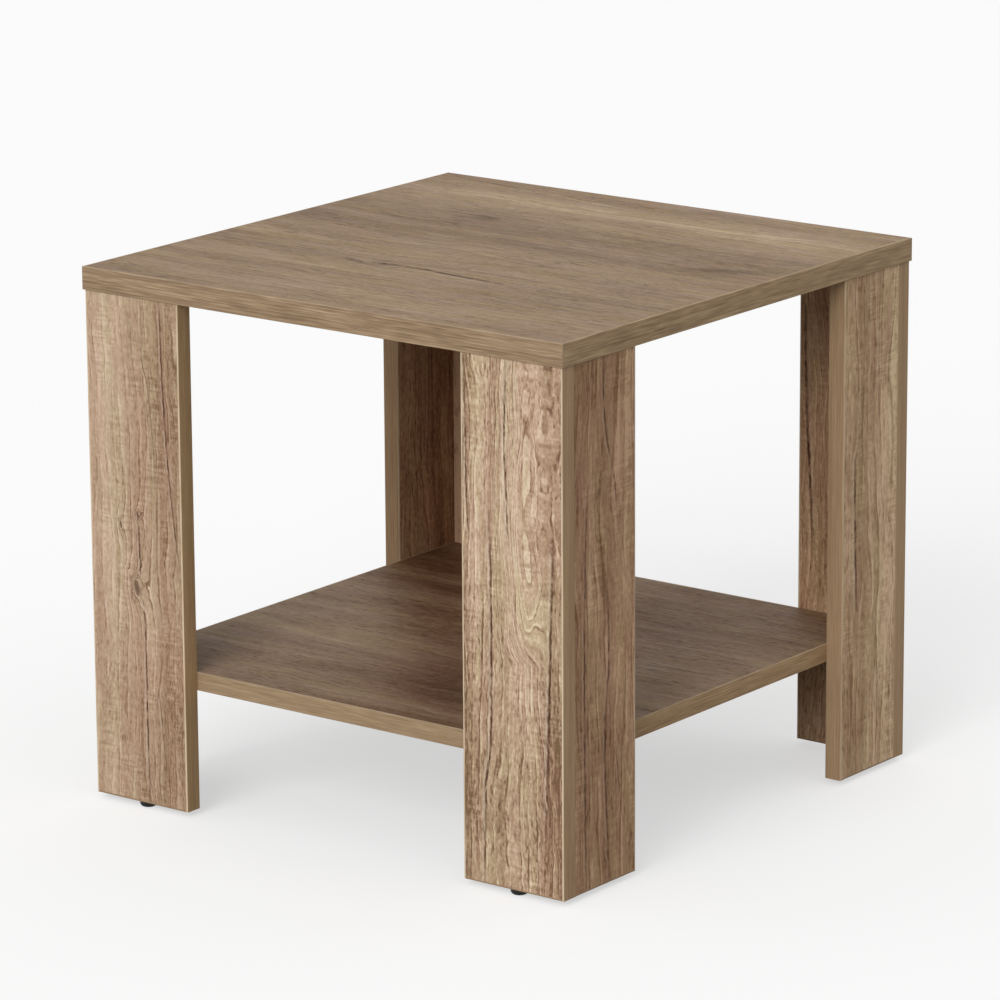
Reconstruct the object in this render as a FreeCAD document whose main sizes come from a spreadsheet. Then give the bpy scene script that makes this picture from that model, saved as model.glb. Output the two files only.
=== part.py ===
import FreeCAD, Part
import os

import Sketcher

# Square coffee table with a lower shelf, made of wood-decor chipboard with banded edges.
# Frame: millimetres, origin on the floor under the middle of the top, +X to the right along the front,
# +Y to the back, +Z up.
# Each leg is an L of two boards: a face board (front or back) laps over the end of a side board.
# The shelf sits inside the four L shapes, and the top lies on their upper ends.

SIZES = {
    # tabletop
    "top_width": 500.0,
    "top_depth": 500.0,
    "top_thick": 20.0,
    "top_overhang": 1.5,
    # legs, measured over their edge bands
    "leg_height": 440.0,
    "face_width": 101.0,
    "side_depth": 98.0,
    "board_thick": 16.0,
    # shelf, its height measured from the legs' lower ends to its underside
    "shelf_height": 104.0,
    "shelf_thick": 16.0,
    # edge bands
    "band_thick": 1.5,
    "band_arris": 0.6,
    # glides, each a cap that narrows to the flat on the floor
    "glide_dia": 15.0,
    "glide_height": 5.0,
    "glide_flat_dia": 9.0,
    # cam fittings: a bolt's head is drawn in by a cam that turns in the other board
    "cam_bore_dia": 15.0,
    "cam_below_bolt": 4.5,
    "cam_core_gap": 0.6,
    "driver_slot_length": 8.0,
    "driver_slot_width": 1.5,
    "driver_slot_depth": 2.0,
    "bolt_reach": 34.0,
    "bolt_thread_length": 11.0,
    "bolt_dia": 5.0,
    "bolt_head_dia": 7.0,
    "bolt_head_length": 5.5,
    "bolt_shoulder": 1.4,
    "bolt_channel_dia": 8.0,
    # dowels, and the tongues glued into the legs' corners
    "dowel_dia": 8.0,
    "dowel_length": 30.0,
    "dowel_in_face": 10.0,
    "tongue_thick": 4.0,
    "tongue_width": 15.0,
    # play round a fastener in its bore, and the space left past its end
    "fit_clearance": 0.1,
    "bore_end_gap": 0.5,
}

# The four legs as signs of X and Y
LEGS = {
    "front_left": (-1, -1),
    "front_right": (1, -1),
    "back_left": (-1, 1),
    "back_right": (1, 1),
}

# Places and sizes that follow from the driving dimensions
LEG_HALF_X = "(sizes.top_width / 2 - sizes.top_overhang)"
LEG_HALF_Y = "(sizes.top_depth / 2 - sizes.top_overhang)"
LEG_TOP = "(sizes.glide_height + sizes.leg_height)"
CORE_BOTTOM = "(sizes.glide_height + sizes.band_thick)"
CORE_HEIGHT = "(sizes.leg_height - sizes.band_thick)"
FACE_CORE = "(sizes.face_width - 2 * sizes.band_thick)"
SIDE_CORE = "(sizes.side_depth - sizes.board_thick - sizes.band_thick)"
FACE_MID = f"({LEG_HALF_X} - sizes.face_width / 2)"
SIDE_MID = f"({LEG_HALF_Y} - sizes.board_thick - {SIDE_CORE} / 2)"
BOARD_MID = "(sizes.board_thick / 2)"
SHELF_HALF_X = f"({LEG_HALF_X} - sizes.board_thick)"
SHELF_HALF_Y = f"({LEG_HALF_Y} - sizes.board_thick)"
SHELF_BOTTOM = "(sizes.glide_height + sizes.shelf_height)"
SHELF_MID = f"({SHELF_BOTTOM} + sizes.shelf_thick / 2)"
SHELF_BOLT_X = f"({FACE_MID} - {BOARD_MID})"
DOWEL_IN_END = "(sizes.dowel_length - sizes.dowel_in_face)"

# Bores: each is its fastener's size with the play that it needs
DOWEL_BORE = "(sizes.dowel_dia + 2 * sizes.fit_clearance)"
DOWEL_FACE_DEPTH = "(sizes.dowel_in_face + sizes.bore_end_gap)"
DOWEL_END_DEPTH = f"({DOWEL_IN_END} + sizes.bore_end_gap)"
THREAD_BORE = "(sizes.bolt_dia + 2 * sizes.fit_clearance)"
THREAD_DEPTH = "(sizes.bolt_thread_length + sizes.bore_end_gap)"
GROOVE_WIDTH = "(sizes.tongue_thick + 2 * sizes.fit_clearance)"
GROOVE_DEPTH = "(sizes.tongue_width / 2 + sizes.fit_clearance)"
LEG_CAM_HEIGHT = "(sizes.board_thick / 2 + sizes.cam_below_bolt)"
SHELF_CAM_HEIGHT = "(sizes.shelf_thick / 2 + sizes.cam_below_bolt)"

X_AXIS = FreeCAD.Vector(1, 0, 0)
Y_AXIS = FreeCAD.Vector(0, 1, 0)
Z_AXIS = FreeCAD.Vector(0, 0, 1)

doc = FreeCAD.newDocument("coffee_table")
sheet = doc.addObject("Spreadsheet::Sheet", "sizes")
nodes = []


def fill_sheet():
    """Writes each driving dimension as a plain number with its alias."""
    for row, (name, value) in enumerate(SIZES.items(), start=1):
        sheet.set(f"A{row}", name)
        sheet.set(f"B{row}", str(value))
        sheet.setAlias(f"B{row}", name)
    doc.recompute()


def value_of(expression):
    """The number that an expression of the sheet's aliases gives."""
    return float(sheet.evalExpression(expression))


def facing(across, outward):
    """The rotation that turns local X to one direction and local Z to another."""
    return FreeCAD.Rotation(across, outward.cross(across), outward, "ZXY")


def place(item, x, y, z, rotation=FreeCAD.Rotation()):
    """Turns an object and binds its place to the sheet."""
    item.Placement = FreeCAD.Placement(FreeCAD.Vector(), rotation)
    for axis, expression in zip("xyz", (x, y, z)):
        item.setExpression(f"Placement.Base.{axis}", expression)


def new_pattern(label):
    """A body that is only copied, for fittings that share one node."""
    body = doc.addObject("PartDesign::Body", label)
    body.Label = label
    return body


def new_body(label):
    """A body that is one sub-part, written to a file of its own."""
    body = new_pattern(label)
    nodes.append(body)
    return body


def new_sketch(body, name, role, offset="0"):
    """A sketch on one of the body's own planes, moved along that plane's normal."""
    sketch = body.newObject("Sketcher::SketchObject", f"{body.Name}_{name}")
    plane = next(item for item in body.Origin.OriginFeatures if item.Role == role)
    sketch.AttachmentSupport = [(plane, "")]
    sketch.MapMode = "FlatFace"
    sketch.setExpression("AttachmentOffset.Base.z", offset)
    return sketch


def hold_point(sketch, item, point, x, y):
    """Binds a point of the sketch to a pair of expressions."""
    for kind, axis, expression in (("DistanceX", -2, x), ("DistanceY", -1, y)):
        if expression == "0":
            sketch.addConstraint(Sketcher.Constraint("PointOnObject", item, point, axis))
            continue
        distance = value_of(expression)
        number = sketch.addConstraint(Sketcher.Constraint(kind, -1, 1, item, point, distance))
        sketch.setExpression(f"Constraints[{number}]", expression)


def draw_outline(sketch, points):
    """A closed outline of straight lines through points given as expressions."""
    corners = [FreeCAD.Vector(value_of(x), value_of(y), 0) for x, y in points]
    lines = []
    for start, end in zip(corners, corners[1:] + corners[:1]):
        lines.append(sketch.addGeometry(Part.LineSegment(start, end), False))
    for before, line, (x, y) in zip(lines[-1:] + lines[:-1], lines, points):
        sketch.addConstraint(Sketcher.Constraint("Coincident", before, 2, line, 1))
        hold_point(sketch, line, 1, x, y)


def draw_rectangle(sketch, left, bottom, right, top):
    """A rectangle between two corners given as expressions."""
    draw_outline(sketch, [(left, bottom), (right, bottom), (right, top), (left, top)])


def draw_circle(sketch, x, y, diameter):
    """A circle whose middle and diameter are given as expressions."""
    middle = FreeCAD.Vector(value_of(x), value_of(y), 0)
    circle = sketch.addGeometry(Part.Circle(middle, Z_AXIS, value_of(diameter) / 2), False)
    hold_point(sketch, circle, 3, x, y)
    number = sketch.addConstraint(Sketcher.Constraint("Diameter", circle, value_of(diameter)))
    sketch.setExpression(f"Constraints[{number}]", diameter)


def pad(body, sketch, length, back=False, both_ways=False):
    """Raises a solid from a sketch."""
    feature = body.newObject("PartDesign::Pad", f"{sketch.Name}_pad")
    feature.Profile = sketch
    feature.Reversed = back
    if both_ways:
        feature.SideType = "Symmetric"
    feature.setExpression("Length", length)
    doc.recompute()
    return feature


def pocket(body, sketch, depth, back=False, both_ways=False):
    """Cuts a sketch into the body and makes sure that it has cut something."""
    volume = body.Shape.Volume
    feature = body.newObject("PartDesign::Pocket", f"{sketch.Name}_cut")
    feature.Profile = sketch
    feature.Reversed = back
    if both_ways:
        feature.SideType = "Symmetric"
    feature.setExpression("Length", depth)
    doc.recompute()
    if body.Shape.Volume >= volume:
        raise ValueError(f"{feature.Name} cuts nothing")
    return feature


def revolve(body, sketch):
    """Turns a half outline about the sketch's upright axis."""
    feature = body.newObject("PartDesign::Revolution", f"{sketch.Name}_turn")
    feature.Profile = sketch
    feature.ReferenceAxis = (sketch, ["V_Axis"])
    feature.Angle = 360
    doc.recompute()
    return feature


def bore(body, name, role, offset, places, diameter, depth, back=False):
    """Drills a row of like bores from one plane of the body."""
    sketch = new_sketch(body, name, role, offset)
    for x, y in places:
        draw_circle(sketch, x, y, diameter)
    return pocket(body, sketch, depth, back)


def edge_band(label, width, length, position, outward, along, holes=(), hole_size=None):
    """A band glued to a board's edge, its two outer arrises scraped to a small bevel.

    Its profile lies with local X out of the edge and local Y across the board, and runs along local Z.
    """
    body = new_body(label)
    half = f"({width} / 2)"
    shoulder = "sizes.band_thick - sizes.band_arris"
    profile = new_sketch(body, "profile", "XY_Plane")
    draw_outline(
        profile,
        [
            ("0", f"-{half}"),
            (shoulder, f"-{half}"),
            ("sizes.band_thick", f"sizes.band_arris - {half}"),
            ("sizes.band_thick", f"{half} - sizes.band_arris"),
            (shoulder, half),
            ("0", half),
        ],
    )
    pad(body, profile, length, both_ways=True)
    if holes:
        bore(body, "holes", "YZ_Plane", "0", holes, hole_size, "sizes.band_thick", back=True)
    place(body, *position, facing(outward, along))
    return body


def band_frame(name, half_x, half_y, middle_z, thick, holes=(), hole_size=None):
    """Bands round a square board: the front and back ones lap over the ends of the other two."""
    side_length = f"2 * ({half_y} - sizes.band_thick)"
    for side, sign in (("front", -1), ("back", 1)):
        position = ("0", f"{sign} * ({half_y} - sizes.band_thick)", middle_z)
        label = f"{name}_edge_{side}"
        length = f"2 * {half_x}"
        edge_band(label, thick, length, position, Y_AXIS * sign, X_AXIS, holes, hole_size)
    for side, sign in (("left", -1), ("right", 1)):
        position = (f"{sign} * ({half_x} - sizes.band_thick)", "0", middle_z)
        edge_band(f"{name}_edge_{side}", thick, side_length, position, X_AXIS * sign, Y_AXIS)


def both_signs(x, y):
    """One place of a quarter of the table, repeated at all four legs."""
    return [(f"{sign_x} * {x}", f"{sign_y} * {y}") for sign_x, sign_y in LEGS.values()]


# Middle of each leg board, seen from above: a bolt stands over the face board and a glide under it,
# and a dowel stands over the side board
FACE_BOARD = (FACE_MID, f"({LEG_HALF_Y} - {BOARD_MID})")
SIDE_BOARD = (f"({LEG_HALF_X} - {BOARD_MID})", SIDE_MID)


# Tabletop: bolts and dowels stand in its underside above the legs
def build_tabletop():
    """The top's core, bored from below, and its four bands."""
    panel = new_body("tabletop_panel")
    half_x = "(sizes.top_width / 2)"
    half_y = "(sizes.top_depth / 2)"
    core_x = f"({half_x} - sizes.band_thick)"
    core_y = f"({half_y} - sizes.band_thick)"
    outline = new_sketch(panel, "outline", "XY_Plane")
    draw_rectangle(outline, f"-{core_x}", f"-{core_y}", core_x, core_y)
    pad(panel, outline, "sizes.top_thick")
    bolts = both_signs(*FACE_BOARD)
    dowels = both_signs(*SIDE_BOARD)
    bore(panel, "bolts", "XY_Plane", "0", bolts, THREAD_BORE, THREAD_DEPTH, back=True)
    bore(panel, "dowels", "XY_Plane", "0", dowels, DOWEL_BORE, DOWEL_FACE_DEPTH, back=True)
    place(panel, "0", "0", LEG_TOP)
    band_frame("tabletop", half_x, half_y, f"{LEG_TOP} + sizes.top_thick / 2", "sizes.top_thick")


# Shelf: a cam at each leg draws it to the face board
def build_shelf():
    """The shelf's core, bored from below and from its front and back edges, and its four bands."""
    panel = new_body("shelf_panel")
    core_x = f"({SHELF_HALF_X} - sizes.band_thick)"
    core_y = f"({SHELF_HALF_Y} - sizes.band_thick)"
    outline = new_sketch(panel, "outline", "XY_Plane")
    draw_rectangle(outline, f"-{core_x}", f"-{core_y}", core_x, core_y)
    pad(panel, outline, "sizes.shelf_thick")
    cams = both_signs(SHELF_BOLT_X, f"({SHELF_HALF_Y} - sizes.bolt_reach)")
    cam_depth = f"{SHELF_CAM_HEIGHT} + sizes.bore_end_gap"
    bore(panel, "cams", "XY_Plane", "0", cams, "sizes.cam_bore_dia", cam_depth, back=True)
    bolts = [(f"{hand} * {SHELF_BOLT_X}", "sizes.shelf_thick / 2") for hand in (-1, 1)]
    channel_depth = "sizes.bolt_reach - sizes.band_thick"
    for side, sign in (("front", 1), ("back", -1)):
        edge = f"{sign} * {core_y}"
        away = side == "back"
        bore(panel, f"{side}_bolts", "XZ_Plane", edge, bolts, "sizes.bolt_channel_dia", channel_depth, away)
    place(panel, "0", "0", SHELF_BOTTOM)
    holes = [("0", f"{hand} * {SHELF_BOLT_X}") for hand in (-1, 1)]
    hole_size = "sizes.bolt_channel_dia"
    band_frame("shelf", SHELF_HALF_X, SHELF_HALF_Y, SHELF_MID, "sizes.shelf_thick", holes, hole_size)


# Legs: in each board local X runs along its width, local Y from its outer to its inner face, local Z up
def leg_board(label, width):
    """A leg board's core, standing on local Z = 0."""
    body = new_body(label)
    outline = new_sketch(body, "outline", "XZ_Plane")
    draw_rectangle(outline, f"-{width} / 2", "0", f"{width} / 2", CORE_HEIGHT)
    pad(body, outline, "sizes.board_thick", back=True)
    return body


def groove(body, role, offset, middle, back):
    """Saws a tongue's groove along the whole height of a leg board."""
    sketch = new_sketch(body, "groove", role, offset)
    half = f"{GROOVE_WIDTH} / 2"
    draw_rectangle(sketch, f"{middle} - {half}", "0", f"{middle} + {half}", CORE_HEIGHT)
    pocket(body, sketch, GROOVE_DEPTH, back)


def build_face_board(leg, sign_x, sign_y):
    """A front or back board, with a cam at its top, the shelf's bolt and the corner's groove."""
    body = leg_board(f"leg_{leg}_face_board", FACE_CORE)
    corner = -sign_x * sign_y
    inner = "-sizes.board_thick"
    cam = [("0", f"{CORE_HEIGHT} - sizes.bolt_reach")]
    cam_depth = f"{LEG_CAM_HEIGHT} + sizes.bore_end_gap"
    bore(body, "cam", "XZ_Plane", inner, cam, "sizes.cam_bore_dia", cam_depth, back=True)
    middle = [("0", BOARD_MID)]
    bore(body, "bolt", "XY_Plane", CORE_HEIGHT, middle, "sizes.bolt_channel_dia", "sizes.bolt_reach")
    shelf_z = "sizes.shelf_height + sizes.shelf_thick / 2 - sizes.band_thick"
    shelf_bolt = [(f"{-corner} * {BOARD_MID}", shelf_z)]
    bore(body, "shelf_bolt", "XZ_Plane", inner, shelf_bolt, THREAD_BORE, THREAD_DEPTH, back=True)
    groove(body, "XZ_Plane", inner, f"{corner} * (sizes.face_width / 2 - {BOARD_MID})", back=True)
    turn = FreeCAD.Rotation(Z_AXIS, 0 if sign_y < 0 else 180)
    place(body, f"{sign_x} * {FACE_MID}", f"{sign_y} * {LEG_HALF_Y}", CORE_BOTTOM, turn)


def build_side_board(leg, sign_x, sign_y):
    """A left or right board, with a dowel at its top, which butts on the face board."""
    body = leg_board(f"leg_{leg}_side_board", SIDE_CORE)
    corner = sign_x * sign_y
    bore(body, "dowel", "XY_Plane", CORE_HEIGHT, [("0", BOARD_MID)], DOWEL_BORE, DOWEL_END_DEPTH)
    groove(body, "YZ_Plane", f"{corner} * {SIDE_CORE} / 2", BOARD_MID, back=corner < 0)
    turn = FreeCAD.Rotation(Z_AXIS, 90 * sign_x)
    place(body, f"{sign_x} * {LEG_HALF_X}", f"{sign_y} * {SIDE_MID}", CORE_BOTTOM, turn)


def build_leg_bands(leg, sign_x, sign_y):
    """The bands on a leg's upright edges, over its full height, and on its lower ends between them."""
    middle = "sizes.glide_height + sizes.leg_height / 2"
    face_y = f"{sign_y} * ({LEG_HALF_Y} - {BOARD_MID})"
    side_x = f"{sign_x} * ({LEG_HALF_X} - {BOARD_MID})"
    outer_x = f"{sign_x} * ({LEG_HALF_X} - sizes.band_thick)"
    inner_x = f"{sign_x} * ({LEG_HALF_X} - sizes.face_width + sizes.band_thick)"
    free_y = f"{sign_y} * ({LEG_HALF_Y} - sizes.side_depth + sizes.band_thick)"
    uprights = {
        "face_edge_outer": ((outer_x, face_y, middle), X_AXIS * sign_x),
        "face_edge_inner": ((inner_x, face_y, middle), X_AXIS * -sign_x),
        "side_edge": ((side_x, free_y, middle), Y_AXIS * -sign_y),
    }
    for name, (position, outward) in uprights.items():
        edge_band(f"leg_{leg}_{name}", "sizes.board_thick", "sizes.leg_height", position, outward, Z_AXIS)
    down = Z_AXIS * -1
    face_end = (f"{sign_x} * {FACE_MID}", face_y, CORE_BOTTOM)
    edge_band(f"leg_{leg}_face_foot", "sizes.board_thick", FACE_CORE, face_end, down, X_AXIS)
    side_end = (side_x, f"{sign_y} * {SIDE_MID}", CORE_BOTTOM)
    edge_band(f"leg_{leg}_side_foot", "sizes.board_thick", SIDE_CORE, side_end, down, Y_AXIS)


def build_legs():
    """Four legs, each with its boards and bands."""
    for leg, (sign_x, sign_y) in LEGS.items():
        build_face_board(leg, sign_x, sign_y)
        build_side_board(leg, sign_x, sign_y)
        build_leg_bands(leg, sign_x, sign_y)


# Fittings: one body of each kind, copied to its places and kept together as one node
def cam_pattern(label, board_thick, height):
    """A cam that lies flush in a board, its face on local Z = 0 and its bolt coming in along local X.

    The bolt's head passes the square entry, then sits in the hollow half of the drum. The slot in the drum's
    wall, as high as the bolt is thick, holds the head's shoulder once the cam is turned home.
    """
    body = new_pattern(label)
    radius = "(sizes.cam_bore_dia / 2 - sizes.fit_clearance)"
    axis_depth = f"-{board_thick} / 2"
    drum = new_sketch(body, "drum", "XY_Plane")
    draw_circle(drum, "0", "0", f"2 * {radius}")
    pad(body, drum, height, back=True)
    shoulder_reach = "hypot(sizes.bolt_head_length; sizes.bolt_dia / 2)"
    head_reach = "hypot(sizes.bolt_head_length - sizes.bolt_shoulder; sizes.bolt_head_dia / 2)"
    hollow_radius = f"max({shoulder_reach}; {head_reach}) + sizes.fit_clearance"
    head_space = "sizes.bolt_head_dia + 2 * sizes.fit_clearance"
    hollow = new_sketch(body, "hollow", "XY_Plane", axis_depth)
    draw_half_disc(hollow, hollow_radius, "sizes.cam_core_gap")
    pocket(body, hollow, head_space, both_ways=True)
    slot = new_sketch(body, "slot", "XY_Plane", axis_depth)
    draw_rectangle(slot, "0", f"-{radius}", radius, f"{THREAD_BORE} / 2")
    pocket(body, slot, THREAD_BORE, both_ways=True)
    entry = new_sketch(body, "entry", "XY_Plane", axis_depth)
    draw_rectangle(entry, f"-({head_space}) / 2", f"-{radius}", f"({head_space}) / 2", "0")
    pocket(body, entry, head_space, both_ways=True)
    driver = new_sketch(body, "driver", "XY_Plane")
    half_length = "sizes.driver_slot_length / 2"
    half_width = "sizes.driver_slot_width / 2"
    draw_rectangle(driver, f"-{half_length}", f"-{half_width}", half_length, half_width)
    one_slot = pocket(body, driver, "sizes.driver_slot_depth")
    cross = body.newObject("PartDesign::PolarPattern", f"{body.Name}_cross")
    cross.Originals = [one_slot]
    cross.Axis = (driver, ["N_Axis"])
    cross.Angle = 180
    cross.Occurrences = 2
    body.Tip = cross
    doc.recompute()
    return body


def draw_half_disc(sketch, radius, gap):
    """A disc about the origin, cut off by an upright chord a small gap past its middle."""
    reach = value_of(radius)
    inset = -value_of(gap)
    half_chord = (reach**2 - inset**2) ** 0.5
    lower = FreeCAD.Vector(inset, -half_chord, 0)
    upper = FreeCAD.Vector(inset, half_chord, 0)
    arc = sketch.addGeometry(Part.Arc(lower, FreeCAD.Vector(reach, 0, 0), upper), False)
    chord = sketch.addGeometry(Part.LineSegment(upper, lower), False)
    sketch.addConstraint(Sketcher.Constraint("Coincident", arc, 3, -1, 1))
    sketch.addConstraint(Sketcher.Constraint("Coincident", arc, 2, chord, 1))
    sketch.addConstraint(Sketcher.Constraint("Coincident", chord, 2, arc, 1))
    sketch.addConstraint(Sketcher.Constraint("Vertical", chord))
    size = sketch.addConstraint(Sketcher.Constraint("Radius", arc, reach))
    sketch.setExpression(f"Constraints[{size}]", radius)
    side = sketch.addConstraint(Sketcher.Constraint("DistanceX", -1, 1, chord, 1, inset))
    sketch.setExpression(f"Constraints[{side}]", f"-{gap}")


def bolt_pattern():
    """A cam bolt: screwed into a board below local Z = 0, with its head at the cam."""
    body = new_pattern("cam_bolt")
    shank = "sizes.bolt_dia / 2"
    head = "sizes.bolt_head_dia / 2"
    neck_end = "sizes.bolt_reach - sizes.bolt_head_length"
    profile = new_sketch(body, "profile", "XZ_Plane")
    draw_outline(
        profile,
        [
            ("0", "-sizes.bolt_thread_length"),
            (shank, "-sizes.bolt_thread_length"),
            (shank, neck_end),
            (head, f"{neck_end} + sizes.bolt_shoulder"),
            (head, "sizes.bolt_reach"),
            ("0", "sizes.bolt_reach"),
        ],
    )
    revolve(body, profile)
    return body


def dowel_pattern():
    """A dowel that stands in a board's face below local Z = 0 and in a board's end above it."""
    body = new_pattern("dowel")
    section = new_sketch(body, "section", "XY_Plane", "-sizes.dowel_in_face")
    draw_circle(section, "0", "0", "sizes.dowel_dia")
    pad(body, section, "sizes.dowel_length")
    return body


def glide_pattern():
    """A plastic glide, standing on local Z = 0, that widens from its flat to the board."""
    body = new_pattern("glide")
    profile = new_sketch(body, "profile", "XZ_Plane")
    draw_outline(
        profile,
        [
            ("0", "0"),
            ("sizes.glide_flat_dia / 2", "0"),
            ("sizes.glide_dia / 2", "sizes.glide_height"),
            ("0", "sizes.glide_height"),
        ],
    )
    revolve(body, profile)
    return body


def tongue_pattern():
    """A corner's tongue: local X across it, local Y into the boards, as tall as the boards' cores."""
    body = new_pattern("tongue")
    section = new_sketch(body, "section", "XY_Plane")
    half_x = "sizes.tongue_thick / 2"
    half_y = "sizes.tongue_width / 2"
    draw_rectangle(section, f"-{half_x}", f"-{half_y}", half_x, half_y)
    pad(body, section, CORE_HEIGHT)
    return body


def copies(label, pattern, places):
    """One node of several like fittings, each a copy of the pattern at its own place."""
    links = []
    for number, (position, across, outward) in enumerate(places):
        link = doc.addObject("App::Link", f"{label}_{number}")
        link.LinkedObject = pattern
        place(link, *position, facing(across, outward))
        links.append(link)
    group = doc.addObject("Part::Compound", label)
    group.Label = label
    group.Links = links
    nodes.append(group)
    doc.recompute()


def at_legs(x, y, z, across, outward):
    """The place and direction of a fitting of one quarter of the table, at all four legs.

    The directions are given as functions of the leg's signs of X and Y.
    """
    places = []
    for sign_x, sign_y in LEGS.values():
        position = (f"{sign_x} * {x}", f"{sign_y} * {y}", z)
        places.append((position, across(sign_x, sign_y), outward(sign_x, sign_y)))
    return places


def along_x(sign_x, sign_y):
    """To the right, at every leg."""
    return X_AXIS


def upwards(sign_x, sign_y):
    """Up, at every leg."""
    return Z_AXIS


def downwards(sign_x, sign_y):
    """Down, at every leg."""
    return Z_AXIS * -1


def to_face(sign_x, sign_y):
    """Out of the table, towards the leg's face board."""
    return Y_AXIS * sign_y


def from_face(sign_x, sign_y):
    """Into the table, away from the leg's face board."""
    return Y_AXIS * -sign_y


def build_fittings():
    """Cams, bolts, dowels, tongues and glides at their places."""
    leg_cam = cam_pattern("leg_cam", "sizes.board_thick", LEG_CAM_HEIGHT)
    shelf_cam = cam_pattern("shelf_cam", "sizes.shelf_thick", SHELF_CAM_HEIGHT)
    bolt = bolt_pattern()

    face_inner = f"({LEG_HALF_Y} - sizes.board_thick)"
    cam_level = f"{LEG_TOP} - sizes.bolt_reach"
    copies("top_cams", leg_cam, at_legs(FACE_MID, face_inner, cam_level, upwards, from_face))
    copies("top_cam_bolts", bolt, at_legs(*FACE_BOARD, LEG_TOP, along_x, downwards))
    copies("top_dowels", dowel_pattern(), at_legs(*SIDE_BOARD, LEG_TOP, along_x, downwards))

    tongue_x = f"({LEG_HALF_X} - {BOARD_MID})"
    copies("corner_tongues", tongue_pattern(), at_legs(tongue_x, face_inner, CORE_BOTTOM, along_x, upwards))

    copies("foot_glides", glide_pattern(), at_legs(*FACE_BOARD, "0", along_x, upwards))

    shelf_cam_y = f"({SHELF_HALF_Y} - sizes.bolt_reach)"
    copies("shelf_cams", shelf_cam, at_legs(SHELF_BOLT_X, shelf_cam_y, SHELF_BOTTOM, to_face, downwards))
    copies("shelf_cam_bolts", bolt, at_legs(SHELF_BOLT_X, SHELF_HALF_Y, SHELF_MID, along_x, from_face))


def check_model():
    """Stops if any object has failed or any sub-part has no valid solid."""
    doc.recompute()
    for item in doc.Objects:
        if "Invalid" in item.State or "Error" in item.State:
            raise ValueError(f"{item.Label} has failed")
    for item in nodes:
        if item.Shape.isNull() or not item.Shape.isValid() or not item.Shape.Solids:
            raise ValueError(f"{item.Label} has no valid solid")


def write_parts():
    """Writes each sub-part to a file that bears its label."""
    os.makedirs("parts", exist_ok=True)
    for item in nodes:
        item.Shape.exportStep(f"parts/{item.Label}.step")
        box = item.Shape.BoundBox
        reach = f"{box.XLength:.1f} x {box.YLength:.1f} x {box.ZLength:.1f}"
        print(f"{item.Label}: {len(item.Shape.Solids)} solid, {reach}")
    print(f"{len(nodes)} sub-parts")


fill_sheet()
build_tabletop()
build_shelf()
build_legs()
build_fittings()
check_model()
write_parts()
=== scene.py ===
"""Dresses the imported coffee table: embossed oak-decor boards, printed edge bands, glides and hidden fittings.

The table stands on four L-shaped legs, each of a face board and a side board, under a square top and round a
square shelf. Sizes in the classes are millimetres, the unit a cabinet maker writes; meshes, lamps and the
camera are in metres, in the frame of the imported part.
"""
import logging
from collections.abc import Sequence
from dataclasses import dataclass
from enum import Enum
from functools import cache

import bpy
import numpy as np
from mathutils import Matrix, Vector


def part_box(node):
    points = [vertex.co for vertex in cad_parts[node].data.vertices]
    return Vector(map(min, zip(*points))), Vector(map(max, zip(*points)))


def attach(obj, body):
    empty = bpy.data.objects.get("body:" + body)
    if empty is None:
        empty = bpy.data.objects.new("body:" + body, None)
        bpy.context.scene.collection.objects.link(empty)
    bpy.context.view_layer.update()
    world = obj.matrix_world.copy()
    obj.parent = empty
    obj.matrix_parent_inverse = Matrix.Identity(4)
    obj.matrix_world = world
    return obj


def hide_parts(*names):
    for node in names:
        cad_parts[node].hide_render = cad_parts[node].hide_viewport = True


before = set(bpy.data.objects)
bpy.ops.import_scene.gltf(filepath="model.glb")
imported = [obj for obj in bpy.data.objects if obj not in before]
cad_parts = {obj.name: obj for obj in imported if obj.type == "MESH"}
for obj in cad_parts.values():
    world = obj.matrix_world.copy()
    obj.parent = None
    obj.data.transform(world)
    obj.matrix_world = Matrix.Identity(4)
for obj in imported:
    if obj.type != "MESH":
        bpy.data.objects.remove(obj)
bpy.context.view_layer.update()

LOG = logging.getLogger("coffee_table")
BODY = "root"
SIDES = ("front", "back", "left", "right")
AXES = "XYZ"
MM = 0.001
PER_MM = 1.0 / MM
SHARP_ANGLE = 35.0
BOTH_WAYS = (-1.0, 1.0)
WHITE = (1.0, 1.0, 1.0, 1.0)

# Short names for the kinds of node that the finishes use most; a pair also says what the node works out.
MATH = "ShaderNodeMath"
PLUS = (MATH, "ADD")
MINUS = (MATH, "SUBTRACT")
TIMES = (MATH, "MULTIPLY")
OVER = (MATH, "DIVIDE")
TIMES_PLUS = (MATH, "MULTIPLY_ADD")
SIZE_OF = (MATH, "ABSOLUTE")
LARGER = (MATH, "MAXIMUM")
EXPONENT = (MATH, "EXPONENT")
VECTOR = "ShaderNodeVectorMath"
RANGE = "ShaderNodeMapRange"
CURVE = "ShaderNodeFloatCurve"
RAMP = "ShaderNodeValToRGB"
MIX = "ShaderNodeMix"
COMBINE = "ShaderNodeCombineXYZ"
SEPARATE = "ShaderNodeSeparateXYZ"
DIFFUSE = "ShaderNodeBsdfDiffuse"
MIX_SHADER = "ShaderNodeMixShader"

Socket = bpy.types.NodeSocket
Material = bpy.types.Material
Piece = bpy.types.Object
Feed = Socket | float | Sequence[float] | None
Point = tuple[float, float]
Triple = tuple[float, float, float]
Box = tuple[np.ndarray, np.ndarray]


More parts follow.
